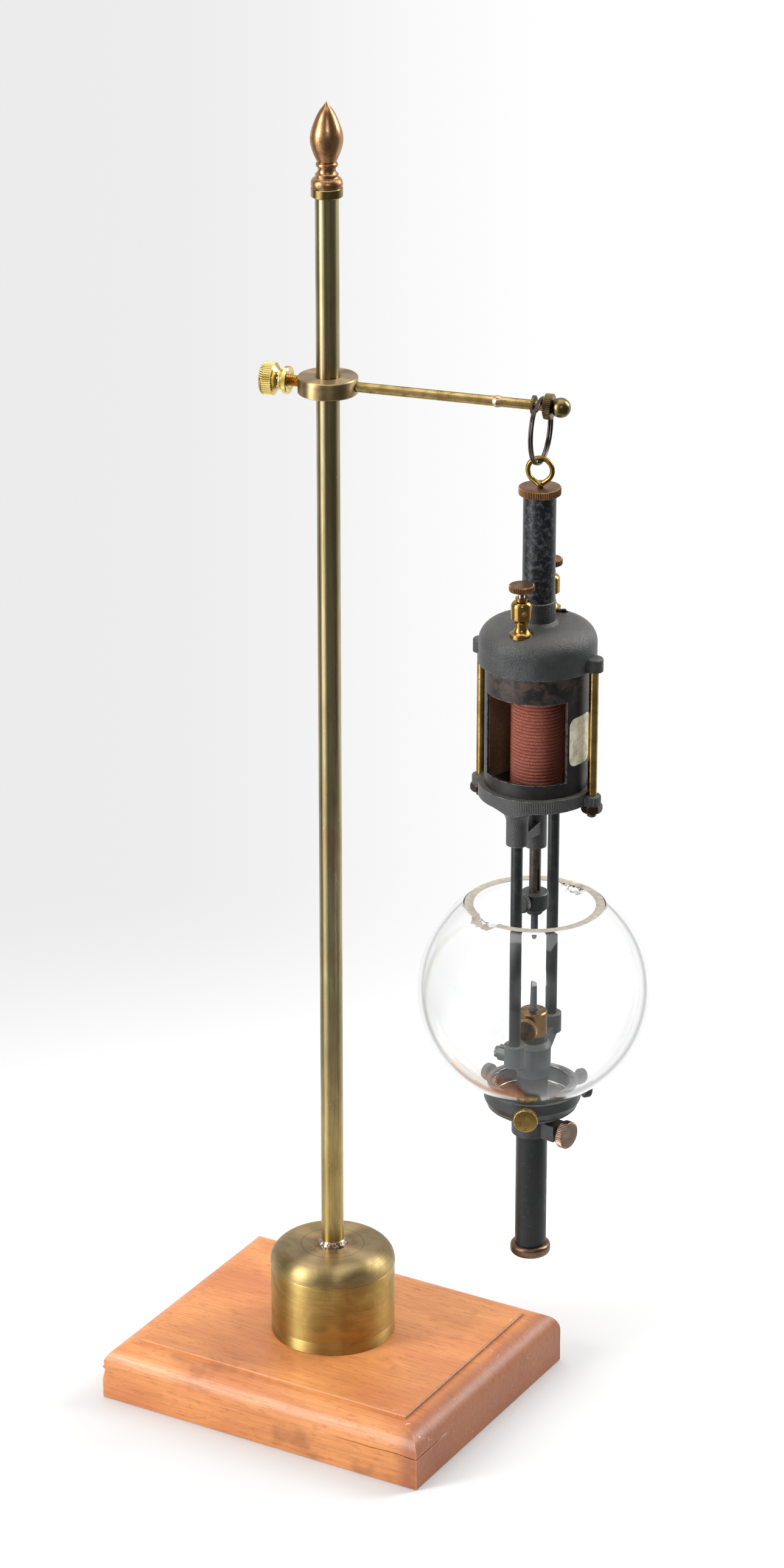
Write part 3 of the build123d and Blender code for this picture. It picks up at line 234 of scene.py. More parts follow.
class Paint:
    """Node material under construction. Sizes are in millimetres; any value may be a socket."""

    def __init__(self, name, owner=None):
        self.material = owner or bpy.data.materials.new(name)
        self.material.use_nodes = True
        self.tree = self.material.node_tree
        self.tree.nodes.clear()
        self.coordinates = self.add("ShaderNodeTexCoord").outputs
        self.where = self.coordinates["Object"]
        self.geometry = self.add("ShaderNodeNewGeometry")

    def put(self, socket, value):
        """Link a socket or set a value. Text is a web colour."""
        if isinstance(value, bpy.types.NodeSocket):
            self.tree.links.new(value, socket)
        else:
            socket.default_value = ink(value) if isinstance(value, str) else value

    def add(self, kind, inputs=(), **settings):
        node = self.tree.nodes.new(kind)
        for key, value in settings.items():
            setattr(node, key, value)
        for key, value in dict(inputs).items():
            self.put(node.inputs[key], value)
        return node

    def math(self, operation, a, b=0.0):
        return self.add("ShaderNodeMath", {0: a, 1: b}, operation=operation).outputs[0]

    def times(self, a, b):
        return self.math("MULTIPLY", a, b)

    def plus(self, a, b):
        return self.math("ADD", a, b)

    def vector(self, operation, a, b=(0, 0, 0), out=0):
        return self.add("ShaderNodeVectorMath", {0: a, 1: b}, operation=operation).outputs[out]

    def axes(self, vector):
        return self.add("ShaderNodeSeparateXYZ", {0: vector}).outputs

    def step(self, value, low, high, out_low=0.0, out_high=1.0):
        """Smooth step between two values, to two results."""
        inputs = {"Value": value, "From Min": low, "From Max": high, "To Min": out_low, "To Max": out_high}
        return self.add("ShaderNodeMapRange", inputs, interpolation_type="SMOOTHSTEP").outputs[0]

    def noise(self, size, detail=3.0, roughness=0.55, stretch=(1, 1, 1), shift=0.0, warp=0.0):
        place = self.vector("MULTIPLY", self.where, stretch)
        if shift:
            place = self.vector("ADD", place, (shift, -shift, 2 * shift))
        inputs = {"Vector": place, "Scale": 1 / (size * MM), "Detail": detail, "Roughness": roughness,
                  "Distortion": warp}
        return self.add("ShaderNodeTexNoise", inputs).outputs[0]

    def cells(self, size, feature="F1", stretch=(1, 1, 1)):
        place = self.vector("MULTIPLY", self.where, stretch)
        inputs = {"Vector": place, "Scale": 1 / (size * MM)}
        return self.add("ShaderNodeTexVoronoi", inputs, feature=feature).outputs[0]

    def mix(self, share, a, b):
        node = self.add("ShaderNodeMix", {0: share, 6: a, 7: b}, data_type="RGBA")
        return node.outputs[2]

    def edges(self, radius, sharpness=0.1):
        """1 on edges that are worn, 0 on flats."""
        soft = self.add("ShaderNodeBevel", {"Radius": radius * MM}, samples=4).outputs[0]
        flat = self.vector("DOT_PRODUCT", soft, self.geometry.outputs["Normal"], out=1)
        return self.step(flat, 1.0 - sharpness * 0.2, 1.0 - sharpness, 0.0, 1.0)

    def upward(self, low, high):
        return self.step(self.axes(self.geometry.outputs["Normal"])[2], low, high)

    def height(self, low, high):
        """0 to 1 between two heights."""
        return self.step(self.axes(self.where)[2], low * MM, high * MM)

    def bump(self, height, depth):
        return self.add("ShaderNodeBump", {"Height": height, "Distance": depth * MM}).outputs[0]

    def turned_tangent(self):
        """Tangent across the turning lines about the stand's axis: it draws highlights out up and down."""
        around = self.vector("CROSS_PRODUCT", (0, 0, 1), self.where)
        return self.vector("NORMALIZE", self.vector("CROSS_PRODUCT", self.geometry.outputs["Normal"], around))

    def glow(self, colour):
        return self.add("ShaderNodeEmission", {0: colour}).outputs[0]

    def blend(self, share, a, b):
        return self.add("ShaderNodeMixShader", {0: share, 1: a, 2: b}).outputs[0]

    def surface(self, colour, roughness, normal=None, **inputs):
        values = {"Base Color": colour, "Roughness": roughness}
        values.update({key.replace("_", " "): value for key, value in inputs.items()})
        node = self.add("ShaderNodeBsdfPrincipled", values)
        if normal is not None:
            self.put(node.inputs["Normal"], normal)
        return node.outputs[0]

    def done(self, shader, output="ShaderNodeOutputMaterial"):
        self.put(self.add(output).inputs["Surface"], shader)
        return self.material


def brass(name, bright, dull, stain, roughness=0.25, stains=0.5, flecks=0.0, brush=None, rim=None):
    """Aged brass: brushed tone, stained patches, dark flecks and rubbed edges."""
    p = Paint(name)
    brush = brush or (1, 1, 0.04)
    strokes = p.noise(0.25, 2, stretch=brush)
    cloud = p.noise(9, 4, warp=0.6)
    colour = p.mix(p.step(cloud, 0.35, 0.65), bright, dull)
    colour = p.mix(p.step(strokes, 0.42, 0.75, 0.0, 0.35), colour, stain)
    patches = p.step(p.noise(5, 5, 0.65, shift=3.1), 0.72 - 0.3 * stains, 0.86 - 0.25 * stains)
    colour = p.mix(p.times(patches, 0.75), colour, stain)
    specks = p.step(p.noise(0.55, 2, shift=5.3), 0.72 - 0.12 * flecks, 0.76 - 0.1 * flecks)
    colour = p.mix(p.times(specks, 0.85), colour, "2b2016")
    if rim:
        colour = p.mix(p.times(p.edges(0.35), 0.8), colour, rim)
    gloss = p.step(cloud, 0.2, 0.8, roughness * 0.8, roughness * 1.25)
    gloss = p.plus(gloss, p.times(p.math("MAXIMUM", patches, specks), 0.25))
    relief = p.plus(p.times(strokes, 0.5), p.times(specks, -0.5))
    return p.done(p.surface(colour, gloss, p.bump(relief, 0.012), Metallic=1.0))


def cast_black(name, base, worn, pebble=0.5, relief=0.2, dust=0.28, rubbed=0.8, ribs=False):
    """Black crackle enamel on a casting: pebbled, dusty on top, worn to metal on its edges."""
    p = Paint(name)
    cell = p.cells(pebble)
    grain = p.noise(0.35, 4, 0.7)
    cloud = p.noise(7, 4, shift=1.3)
    colour = p.mix(p.step(cloud, 0.35, 0.7), base, "363738")
    colour = p.mix(p.times(p.step(cell, 0.0, 0.5, 0.5, 0.0), 0.5), colour, "151617")
    top = p.times(p.upward(0.15, 0.9), p.step(grain, 0.35, 0.7, dust * 0.5, dust))
    colour = p.mix(top, colour, "77736a")
    scuffs = p.step(p.noise(2.2, 5, 0.7, shift=4.4), 0.42, 0.62)
    edge = p.times(p.edges(0.5), p.times(scuffs, rubbed))
    chips = p.step(p.noise(0.9, 2, shift=7.7), 0.74, 0.77)
    edge = p.math("MAXIMUM", edge, p.times(chips, 0.55))
    colour = p.mix(edge, colour, worn)
    gloss = p.step(edge, 0.0, 1.0, 0.42, 0.34)
    bumps = p.plus(p.times(cell, -0.7), p.times(grain, 0.6))
    if ribs:
        bumps = p.plus(bumps, rim_ribs(p))
    return p.done(p.surface(colour, gloss, p.bump(bumps, relief), Metallic=p.times(edge, 0.5)))


def rim_ribs(p):
    """Fine upright milling on the bottom plate's rim, plain on its lower left."""
    offset = p.vector("SUBTRACT", p.where, tuple(LAMP_AXIS))
    x, y, _ = p.axes(offset)
    angle = p.math("ARCTAN2", y, x)
    wave = p.math("SINE", p.times(angle, 210.0))
    side = p.step(angle, -1.5, -1.1)
    high = extent("bottom_casting")[1]
    band = p.times(p.height(high - 5.4, high - 5.0), p.height(high - 0.4, high - 0.8))
    return p.times(p.times(wave, side), p.times(band, 0.8))


def black_tube(name, base, blotch, size, roughness=0.38, sparks="9c9c98", amount=0.5):
    """Smooth blackened metal with paler blotches and tiny bare spots."""
    p = Paint(name)
    cloud = p.noise(size, 5, 0.65, warp=0.4)
    colour = p.mix(p.times(p.step(cloud, 0.45, 0.68), amount), base, blotch)
    spots = p.step(p.noise(0.5, 1, shift=2.2), 0.76, 0.79)
    colour = p.mix(p.times(spots, 0.8), colour, sparks)
    edge = p.times(p.edges(0.3), 0.5)
    colour = p.mix(edge, colour, sparks)
    gloss = p.step(cloud, 0.3, 0.7, roughness * 0.85, roughness * 1.3)
    return p.done(p.surface(colour, gloss, p.bump(p.noise(0.6, 4, 0.6), 0.02), Metallic=0.35))


def housing_paint():
    """Blackened tube with brown oxide near its top, bright worn window edges, and a rusty inside painted pale
    as painted light for the light that falls in through the window.
    """
    p = Paint("housing_oxide")
    cloud = p.noise(4.5, 5, 0.7, warp=0.5)
    high = p.height(326, 344)
    brown = p.times(p.step(cloud, 0.4, 0.6), p.plus(p.times(high, 0.75), 0.12))
    colour = p.mix(brown, "1e1d1e", "4f3d33")
    colour = p.mix(p.step(p.noise(1.3, 4, shift=6.1), 0.55, 0.75, 0.0, 0.35), colour, "1d1c1d")
    outward = p.vector("MULTIPLY", p.vector("SUBTRACT", p.where, tuple(LAMP_AXIS)), (1, 1, 0))
    facing = p.vector("DOT_PRODUCT", p.geometry.outputs["Normal"], outward, out=1)
    inside = p.step(facing, -0.001, -0.008)
    # rust colour, painted pale as painted light standing in for the light that falls in through the window
    rust_and_painted_light = p.mix(p.noise(1.1, 5, 0.7, shift=1.9), "8f6041", "d8ac88")
    colour = p.mix(inside, colour, rust_and_painted_light)
    worn = p.times(p.edges(0.25), p.step(p.noise(1.6, 3, shift=8.2), 0.4, 0.55))
    colour = p.mix(worn, colour, "b9b2a6")
    gloss = p.plus(p.step(cloud, 0.3, 0.7, 0.4, 0.55), p.times(inside, 0.2))
    return p.done(p.surface(colour, gloss, p.bump(p.noise(0.4, 4, 0.7), 0.04), Metallic=0.3))


def cotton(name, light, dark, sheen=0.4, dirt_and_shade=None):
    """Cotton covering: fine wrapped threads with fuzz. Given a shade colour, the grooves between turns and
    one side of the coil are darkened as painted shade, and the ridge tops get dust.
    """
    p = Paint(name)
    threads = p.noise(0.16, 2, stretch=(1, 1, 2.2))
    cloud = p.noise(5, 3, shift=2.0)
    colour = p.mix(p.step(threads, 0.3, 0.7), dark, light)
    colour = p.mix(p.step(cloud, 0.45, 0.75, 0.0, 0.4), colour, dark)
    if dirt_and_shade:
        offset = p.vector("SUBTRACT", p.where, tuple(LAMP_AXIS))
        outer = extent("coil_winding", lamp_place())[2] * MM
        reach = p.vector("LENGTH", p.vector("MULTIPLY", offset, (1, 1, 0)), out=1)
        # painted shade: the grooves between the turns are darkened
        colour = p.mix(p.step(reach, outer - 0.00008, outer - 0.0005, 0.0, 0.85), colour, "3c170f")
        fuzz = p.times(p.step(p.noise(0.45, 3, 0.7, shift=5.5), 0.45, 0.7), 0.55)
        dusty = p.times(p.step(reach, outer - 0.0003, outer - 0.0001), fuzz)
        colour = p.mix(dusty, colour, "c08668")
        # painted shade: the side of the coil turned away from the window's light is darkened
        turned = p.vector("DOT_PRODUCT", offset, (0.86, 0.51, 0), out=1)
        colour = p.mix(p.step(turned, 0.0, 0.0125, 0.0, 0.8), colour, dirt_and_shade)
    return p.done(p.surface(colour, 0.85, p.bump(threads, 0.06), Sheen_Weight=sheen, Sheen_Roughness=0.5))


def cherry_wood():
    """Varnished cherry, grain along X, redder and end-grained on its right, with pale scratches there."""
    p = Paint("cherry_wood")
    warp = p.noise(40, 3, stretch=(0.15, 1, 1))
    x, y, z = p.axes(p.where)
    high = p.plus(z, 0.16)
    reach = p.math("SQRT", p.plus(p.times(y, y), p.times(high, high)))
    rings = p.math("SINE", p.times(p.plus(reach, p.times(warp, 0.03)), 1500.0))
    streaks = p.noise(0.9, 4, 0.65, stretch=(0.03, 1, 1))
    pores = p.noise(0.28, 2, stretch=(0.05, 1, 1), shift=4.0)
    cloud = p.noise(30, 3, stretch=(0.5, 1, 1), shift=6.0)
    colour = p.mix(p.step(cloud, 0.3, 0.7), "d58e52", "bf7545")
    colour = p.mix(p.step(rings, -0.9, 1.0, 0.0, 0.12), colour, "9a5430")
    colour = p.mix(p.step(streaks, 0.42, 0.72, 0.0, 0.34), colour, "93502c")
    mottle = p.noise(2.2, 4, 0.7, stretch=(0.35, 1, 1), shift=7.7)
    colour = p.mix(p.step(mottle, 0.52, 0.7, 0.0, 0.38), colour, "874726")
    stain = p.noise(26, 3, 0.6, shift=12.5)
    colour = p.mix(p.step(stain, 0.56, 0.72, 0.0, 0.5), colour, "7e4a2e")
    colour = p.mix(p.step(pores, 0.62, 0.74, 0.0, 0.5), colour, "6b3319")
    side = p.step(x, 0.066, 0.074)
    high = extent("wooden_base")[1]
    # painted shadow: a dark line on the riser of the raised panel's step at the right
    edge = p.math("SUBTRACT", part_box("wooden_base")[1].x - 0.012, x)
    step_shadow = p.times(p.step(p.math("ABSOLUTE", edge), 0.0011, 0.0), p.height(high - 1.6, high - 0.4))
    colour = p.mix(p.times(step_shadow, 0.7), colour, "5a3a26")
    ends = p.noise(1.1, 4, 0.7, stretch=(0.3, 1, 0.3), shift=9.0)
    red = p.mix(p.step(ends, 0.3, 0.75), "94573a", "7c452d")
    colour = p.mix(p.times(side, 0.75), colour, red)
    lines = p.math("ABSOLUTE", p.math("SUBTRACT", p.noise(11, 2, stretch=(1, 0.5, 2.5), shift=2.9), 0.5))
    patch = p.times(p.step(p.noise(7, 1, shift=1.4), 0.58, 0.63), p.step(x, 0.056, 0.064))
    patch = p.times(patch, p.step(z, 0.0145, 0.0155))
    scratch = p.times(p.step(lines, 0.004, 0.001), patch)
    dots = p.times(p.step(p.noise(1.2, 1, shift=3.3), 0.77, 0.79), p.step(x, 0.04, 0.055))
    pale = p.times(p.math("MAXIMUM", scratch, dots), 0.8)
    colour = p.mix(pale, colour, "e2cdb8")
    worn = p.times(p.edges(0.8), 0.35)
    colour = p.mix(worn, colour, "d9a173")
    gloss = p.plus(p.step(streaks, 0.3, 0.7, 0.36, 0.5), p.times(pale, 0.3))
    relief = p.plus(p.times(streaks, 0.4), p.times(pores, -0.4))
    return p.done(p.surface(colour, gloss, p.bump(relief, 0.05), Coat_Weight=0.08, Coat_Roughness=0.35))


def clear_glass():
    """Clear glass with a little dust. Shadows pass through it."""
    p = Paint("clear_glass")
    dust = p.step(p.noise(0.7, 1, shift=1.0), 0.77, 0.8)
    smear = p.step(p.noise(24, 4), 0.5, 0.75, 0.0, 0.06)
    glass = p.surface((0.985, 0.99, 0.985, 1), smear, Transmission_Weight=1.0, IOR=1.47)
    dirt_and_shade = p.surface("cfcac2", 0.7)
    seen = p.add("ShaderNodeMixShader", {0: p.times(dust, 0.35), 1: glass, 2: dirt_and_shade}).outputs[0]
    clear = p.add("ShaderNodeBsdfTransparent", {0: (0.93, 0.94, 0.93, 1)}).outputs[0]
    shadow = p.add("ShaderNodeLightPath").outputs["Is Shadow Ray"]
    return p.done(p.add("ShaderNodeMixShader", {0: shadow, 1: seen, 2: clear}).outputs[0])


def ground_glass():
    """Ground and chipped rim: milky, with broken facets."""
    p = Paint("ground_glass")
    facets = p.noise(2.0, 3, 0.6)
    colour = p.mix(p.step(facets, 0.3, 0.75), "b5a896", "cdc3b6")
    matt = p.surface(colour, 0.5, p.bump(facets, 0.04), Subsurface_Weight=0.2)
    through = p.add("ShaderNodeBsdfTranslucent", {0: colour}).outputs[0]
    return p.done(p.add("ShaderNodeMixShader", {0: 0.3, 1: matt, 2: through}).outputs[0])


def paper():
    p = Paint("aged_paper")
    stains = p.noise(3.5, 4, 0.6)
    fibres = p.noise(0.3, 3, stretch=(1, 1, 3))
    colour = p.mix(p.step(stains, 0.4, 0.7), "d2cab2", "a69e86")
    colour = p.mix(p.step(p.noise(1.0, 3, shift=2.2), 0.62, 0.72, 0.0, 0.5), colour, "7e7663")
    return p.done(p.surface(colour, 0.8, p.bump(fibres, 0.03)))


def dull(name, light, dark, size, roughness, metallic=0.0, relief=0.04):
    """Plain dull stuff: carbon, ebonite, fibre, lead or iron, with its own grain."""
    p = Paint(name)
    grain = p.noise(size, 5, 0.65)
    colour = p.mix(p.step(grain, 0.3, 0.7), dark, light)
    edge = p.times(p.edges(0.25), 0.3)
    colour = p.mix(edge, colour, "9a938a")
    gloss = p.step(grain, 0.3, 0.7, roughness * 0.85, roughness * 1.15)
    return p.done(p.surface(colour, gloss, p.bump(grain, relief), Metallic=metallic))


def pillar_paint():
    """Drawn brass tube: olive with age, brighter low down, long upright scratches."""
    p = Paint("pillar_brass")
    strokes = p.noise(0.3, 3, stretch=(1, 1, 0.012))
    cloud = p.noise(16, 4, stretch=(1, 1, 0.35), warp=0.5)
    aged = p.mix(p.step(cloud, 0.35, 0.65), "a69a74", "867a58")
    clean = p.mix(p.step(cloud, 0.35, 0.65), "c6ac70", "9f8a54")
    colour = p.mix(p.height(190, 70), aged, clean)
    colour = p.mix(p.step(strokes, 0.45, 0.7, 0.0, 0.35), colour, "5a4e34")
    pink = p.times(p.step(p.noise(22, 3, shift=5.0), 0.55, 0.7), 0.35)
    colour = p.mix(pink, colour, "8a6a4a")
    flecks = p.step(p.noise(0.8, 2, stretch=(1, 1, 0.5), shift=2.4), 0.7, 0.74)
    colour = p.mix(p.times(flecks, 0.6), colour, "cdbf9a")
    pits = p.step(p.noise(0.6, 2, shift=8.4), 0.71, 0.75)
    colour = p.mix(p.times(pits, 0.8), colour, "3a3020")
    gloss = p.step(cloud, 0.3, 0.7, 0.27, 0.36)
    relief = p.plus(p.times(strokes, 0.5), p.times(pits, -0.5))
    normal = p.bump(relief, 0.01)
    return p.done(p.surface(colour, gloss, normal, Metallic=1.0, Anisotropic=0.7, Tangent=p.turned_tangent()))


def drum_paint(name, low, high, circle=None):
    """Turned brass: highlights drawn up and down, upward faces tinted brown as a painted reflection of the
    dark above.
    """
    p = Paint(name)
    turning = p.noise(0.35, 3, stretch=(0.02, 0.02, 1))
    cloud = p.noise(14, 4, stretch=(1, 1, 1.5), warp=0.8)
    colour = p.mix(p.step(cloud, 0.35, 0.65), low, high)
    # painted reflection: faces turned upward are tinted brown, as the dark above would show in them
    colour = p.mix(p.times(p.upward(0.8, 0.99), 0.45), colour, "9a8468")
    colour = p.mix(p.step(turning, 0.45, 0.75, 0.0, 0.3), colour, "6b5830")
    if circle:
        x, y, _ = p.axes(p.where)
        reach = p.math("SQRT", p.plus(p.times(x, x), p.times(y, y)))
        off = p.math("ABSOLUTE", p.math("SUBTRACT", reach, circle * MM))
        colour = p.mix(p.step(off, 0.0004, 0.0, 0.0, 0.5), colour, "4d412c")
        singed = p.times(p.step(reach, 0.0125, 0.0075), p.step(p.noise(4, 3, shift=3.7), 0.42, 0.6))
        colour = p.mix(p.times(singed, 0.75), colour, "8a5c38")
    spots = p.step(p.noise(0.9, 2, shift=4.1), 0.74, 0.78)
    colour = p.mix(p.times(spots, 0.7), colour, "4c3a20")
    colour = p.mix(p.times(p.edges(0.4), 0.5), colour, "e0c88a")
    gloss = p.step(cloud, 0.3, 0.7, 0.4, 0.47)
    normal = p.bump(turning, 0.008)
    shader = p.surface(colour, gloss, normal, Metallic=1.0, Anisotropic=0.85, Tangent=p.turned_tangent())
    return p.done(shader)


def solder_paint():
    p = Paint("solder")
    cloud = p.noise(1.2, 4, 0.6)
    colour = p.mix(p.step(cloud, 0.42, 0.62), "a8a294", "7a5c40")
    return p.done(p.surface(colour, 0.3, p.bump(cloud, 0.06), Metallic=0.9))


PAINTS = {
    "pillar": pillar_paint(),
    "drum": drum_paint("drum_brass", "b49c5e", "9e874e"),
    "cover": drum_paint("cover_brass", "ab9666", "8f7a52", circle=13.5),
    "solder": solder_paint(),
    "finial": brass("finial_copper", "bc9468", "976d4a", "5c4230", 0.29, stains=0.8, flecks=0.4),
    "collar": brass("collar_brass", "a18a58", "7f6b42", "54452a", 0.22, stains=0.4),
    "bracket": drum_paint("bracket_brass", "b09a70", "8a7454"),
    "arm": brass("arm_brass", "ab9260", "84703f", "5f4534", 0.2, stains=0.6, flecks=0.5,
                 brush=(0.05, 0.05, 1)),
    "thumb": brass("polished_brass", "dcc684", "c9b068", "9a8048", 0.16, stains=0.0),
    "stud": brass("thread_brass", "c99545", "a87630", "6e4a20", 0.3, stains=0.3),
    "knob": brass("olive_brass", "7c6c48", "5c4e34", "3a3020", 0.3, stains=0.5, flecks=0.4),
    "eye": brass("wire_brass", "a08440", "7e6530", "4a3a1e", 0.3, stains=0.4),
    "cap": brass("brown_bronze", "8c6a4e", "75543c", "4a3424", 0.4, stains=0.4, rim="c08a54"),
    "terminal": brass("terminal_brass", "b89352", "987640", "5c421c", 0.2, stains=0.3, flecks=0.7),
    "head": brass("knob_bronze", "87664a", "6b4d36", "3f2c1f", 0.4, stains=0.5, rim="b58a5c"),
    "nickel": brass("worn_nickel", "b4b0a6", "8f8a7e", "5f5848", 0.28, stains=0.3),
    "tie": brass("tie_brass", "c8a868", "9c7c42", "4a391e", 0.24, stains=0.25, flecks=0.75),
    "holder": brass("holder_bronze", "947248", "775832", "452f1c", 0.28, stains=0.6),
    "gold_face": brass("gold_screw", "9c8048", "7c6234", "35281a", 0.3, stains=0.6, flecks=0.9, rim="d9b877"),
    "pink_face": brass("pink_screw", "a89080", "8b7666", "5d4b3e", 0.36, stains=0.2, flecks=0.4),
    "tail": brass("tail_bronze", "7a624e", "5e4a3b", "3a2b20", 0.36, stains=0.5, rim="b08c6c"),
    "nut": brass("dark_steel", "5c5048", "473c34", "2b231e", 0.36, stains=0.5, rim="8f8478"),
    "ring": brass("ring_steel", "5e5450", "443d3a", "2b2624", 0.24, stains=0.2),
    "cast": cast_black("crackle_enamel", "292a2b", "8f8a7e"),
    "plate": cast_black("plate_enamel", "3c3c3d", "a8a290", ribs=True),
    "yoke": cast_black("yoke_enamel", "3a3c3f", "8a8880", pebble=0.8, relief=0.06),
    "gallery": cast_black("gallery_enamel", "26282a", "6f6c66", pebble=1.2, relief=0.03, dust=0.2),
    "clamp": cast_black("clamp_enamel", "222427", "6c6a68", pebble=1.6, relief=0.02, dust=0.25),
    "tube": black_tube("slate_tube", "191b1e", "53575b", 1.9, amount=0.75),
    "tail_tube": black_tube("tail_black", "1d1e1f", "2c2d2e", 5, sparks="a58c58", amount=0.5),
    "rods": black_tube("rod_black", "282a2b", "3e4141", 4, roughness=0.34, sparks="b3ad9c"),
    "feed": black_tube("feed_steel", "3c332d", "5d5044", 5, roughness=0.3),
    "housing": housing_paint(),
    "coil": cotton("red_cotton", "9c4a34", "6b2a1c", sheen=0.12, dirt_and_shade="2c120b"),
    "wire": cotton("black_cotton", "26241f", "100f0e", sheen=0.1),
    "wood": cherry_wood(),
    "glass": clear_glass(),
    "rim": ground_glass(),
    "paper": paper(),
    "carbon": dull("carbon", "3d434b", "1c2025", 0.7, 0.5),
    "ebonite": dull("ebonite", "2a2622", "161311", 2, 0.4),
    "fibre": dull("fibre", "4a3424", "2e2018", 1.5, 0.75),
    "lead": dull("cast_iron", "56585a", "3c3e40", 1.2, 0.55, 0.8),
    "iron": dull("soft_iron", "6a6661", "4a4743", 0.8, 0.4, 0.9),
    "braze": brass("brazing", "b99a78", "a5806a", "d8c4ae", 0.34, stains=0.6),
}

NODE_PAINTS = {  # paint: the carried-over nodes it goes on
    "drum": "base_drum",
    "cover": "base_cap",
    "lead": "base_ballast",
    "pillar": "pillar_tube",
    "collar": "finial_collar bracket_liner",
    "finial": "finial",
    "bracket": "bracket_collar",
    "arm": "arm_rod arm_tip",
    "knob": "arm_washer arm_ball",
    "tube": "top_tube",
    "cast": "top_casting",
    "ebonite": "post_insulator",
    "terminal": "post_nuts binding_post_front binding_post_rear",
    "housing": "housing_tube",
    "fibre": "coil_bobbin",
    "iron": "solenoid_core clutch_ring",
    "plate": "bottom_casting",
    "rods": "side_rods",
    "clamp": "upper_carbon_clamp holder_seat_ring",
    "carbon": "upper_carbon lower_carbon",
    "holder": "lower_carbon_holder",
    "yoke": "yoke yoke_screw",
    "tail_tube": "tail_tube",
    "tail": "tail_cap",
    "gallery": "gallery",
}


def paint_frame():
    """Give every carried-over CAD node its finish."""
    for paint, names in NODE_PAINTS.items():
        for node in names.split():
            data = nodes[node].data
            data.materials.clear()
            data.materials.append(PAINTS[paint])


# ---- stand ----


def base_board():
    """Moulded board with its blind centre hole, a crack and a chipped corner."""
    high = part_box("wooden_base")[1] / MM
    band, round_r, inset, bore, depth = 14.8, 9.8, 12.0, 4.8, 8.0
    side_steps = 56
    half = (high.x, high.y)
    corners = [(1, -1), (1, 1), (-1, 1), (-1, -1)]
    around = []
    for (ax, ay), (bx, by) in zip(corners, corners[1:] + corners[:1]):
        for k in range(side_steps):
            t = 0.5 - 0.5 * cos(pi * k / side_steps)
            around.append((ax + (bx - ax) * t, ay + (by - ay) * t))
    outline = [(0.5, 0.0), (0.0, 0.5), (0.0, 4.0), (0.0, 9.0), (0.0, 13.6)]
    outline += [(0.0, band - 0.4), (0.0, band), (0.0, band + 0.4)]
    for k in range(1, 12):
        angle = radians(90 * k / 12)
        outline.append((round_r * (1 - cos(angle)), band + round_r * sin(angle)))
    step_z = band + round_r
    outline += [(round_r, step_z), (inset - 0.1, step_z - 0.05)]
    outline += [(inset, high.z - 0.35), (inset + 0.35, high.z)]

    def crack(x, y):
        """Depth of the split that runs out to the near right corner under the moulding."""
        along_front = bulge(x, 20, 70) if y < -half[1] + 8 else 0.0
        along_side = bulge(-y, 30, 60) if x > half[0] - 8 else 0.0
        return max(along_front, along_side)

    vertices, rows = [], []
    for inward, z in outline:
        rows.append(range(len(vertices), len(vertices) + len(around)))
        for ux, uy in around:
            x, y = ux * (half[0] - inward), uy * (half[1] - inward)
            wave = rough(x, y, z, 9.0, 2.0)
            drop = 0.0
            pull = 0.0
            if abs(z - band) < 0.45:
                share = crack(x, y)
                drop = (0.9 * wave + 0.25 * rough(x, y, z, 1.5, 5.0)) * share
                pull = 2.2 * share if z == band else 0.0
            nick = bulge(-(x + half[0] - inward), -3.0, -0.5) if uy < -0.98 and 12 < z < 17 else 0.0
            length = hypot(x, y)
            pull += 0.9 * nick * (0.6 + rough(x, y, z, 1.3, 3.0))
            ease = 0.12 * rough(x, y, z, 14.0, 7.0) * (1 if inward < 9 else 0)
            scale = 1 - max(0.0, pull - min(0.0, ease)) / length
            vertices.append((x * scale, y * scale, z + drop))
    for radius, z in ((bore + 0.3, high.z), (bore, high.z - 0.3), (bore, depth)):
        rows.append(range(len(vertices), len(vertices) + len(around)))
        for ux, uy in around:
            angle = atan2(uy * half[1], ux * half[0])
            vertices.append((radius * cos(angle), radius * sin(angle), z))
    faces = []
    count = len(around)
    for row, after in zip(rows, rows[1:]):
        for k in range(count):
            faces.append([row[k], row[(k + 1) % count], after[(k + 1) % count], after[k]])
    faces += [list(rows[0]), list(rows[-1])]
    piece("base_board", (vertices, faces), "wood", "stand", ["wooden_base"], sharp=30)


def drum_shell():
    """Drum with a turned line near its foot and an eased top edge under the cover's seam."""
    low, high, outer = extent("base_drum")
    wall = 1.5
    line = low + 5.6
    outline = [
        (outer - wall, low),
        (outer - 0.25, low),
        (outer, low + 0.25),
        (outer, line - 0.35),
        (outer - 0.12, line),
        (outer, line + 0.35),
        (outer, high - 0.4),
        (outer - 0.3, high),
        (outer - wall, high),
    ]
    piece("drum_shell", lathe(outline, 160, ring=True), "drum", "stand", ["base_drum"])


def ferrule():
    """Ferrule run round with solder."""
    low, high, outer = extent("pillar_ferrule")
    bore = 4.78
    outline = [(bore, low), (outer, low), (outer - 0.2, low + 0.9), (5.6, high - 0.9), (bore, high)]
    outline = refine(outline, 0.3)

    def lumpy(r, z, angle):
        share = bulge(r, bore + 0.05, bore + 0.9)
        return r - 0.45 * share * abs(rough(9 * cos(angle), 9 * sin(angle), z, 2.2, 1.0)), z

    piece("solder_ferrule", lathe(outline, 128, lumpy, ring=True), "solder", "stand",
          ["pillar_ferrule"])


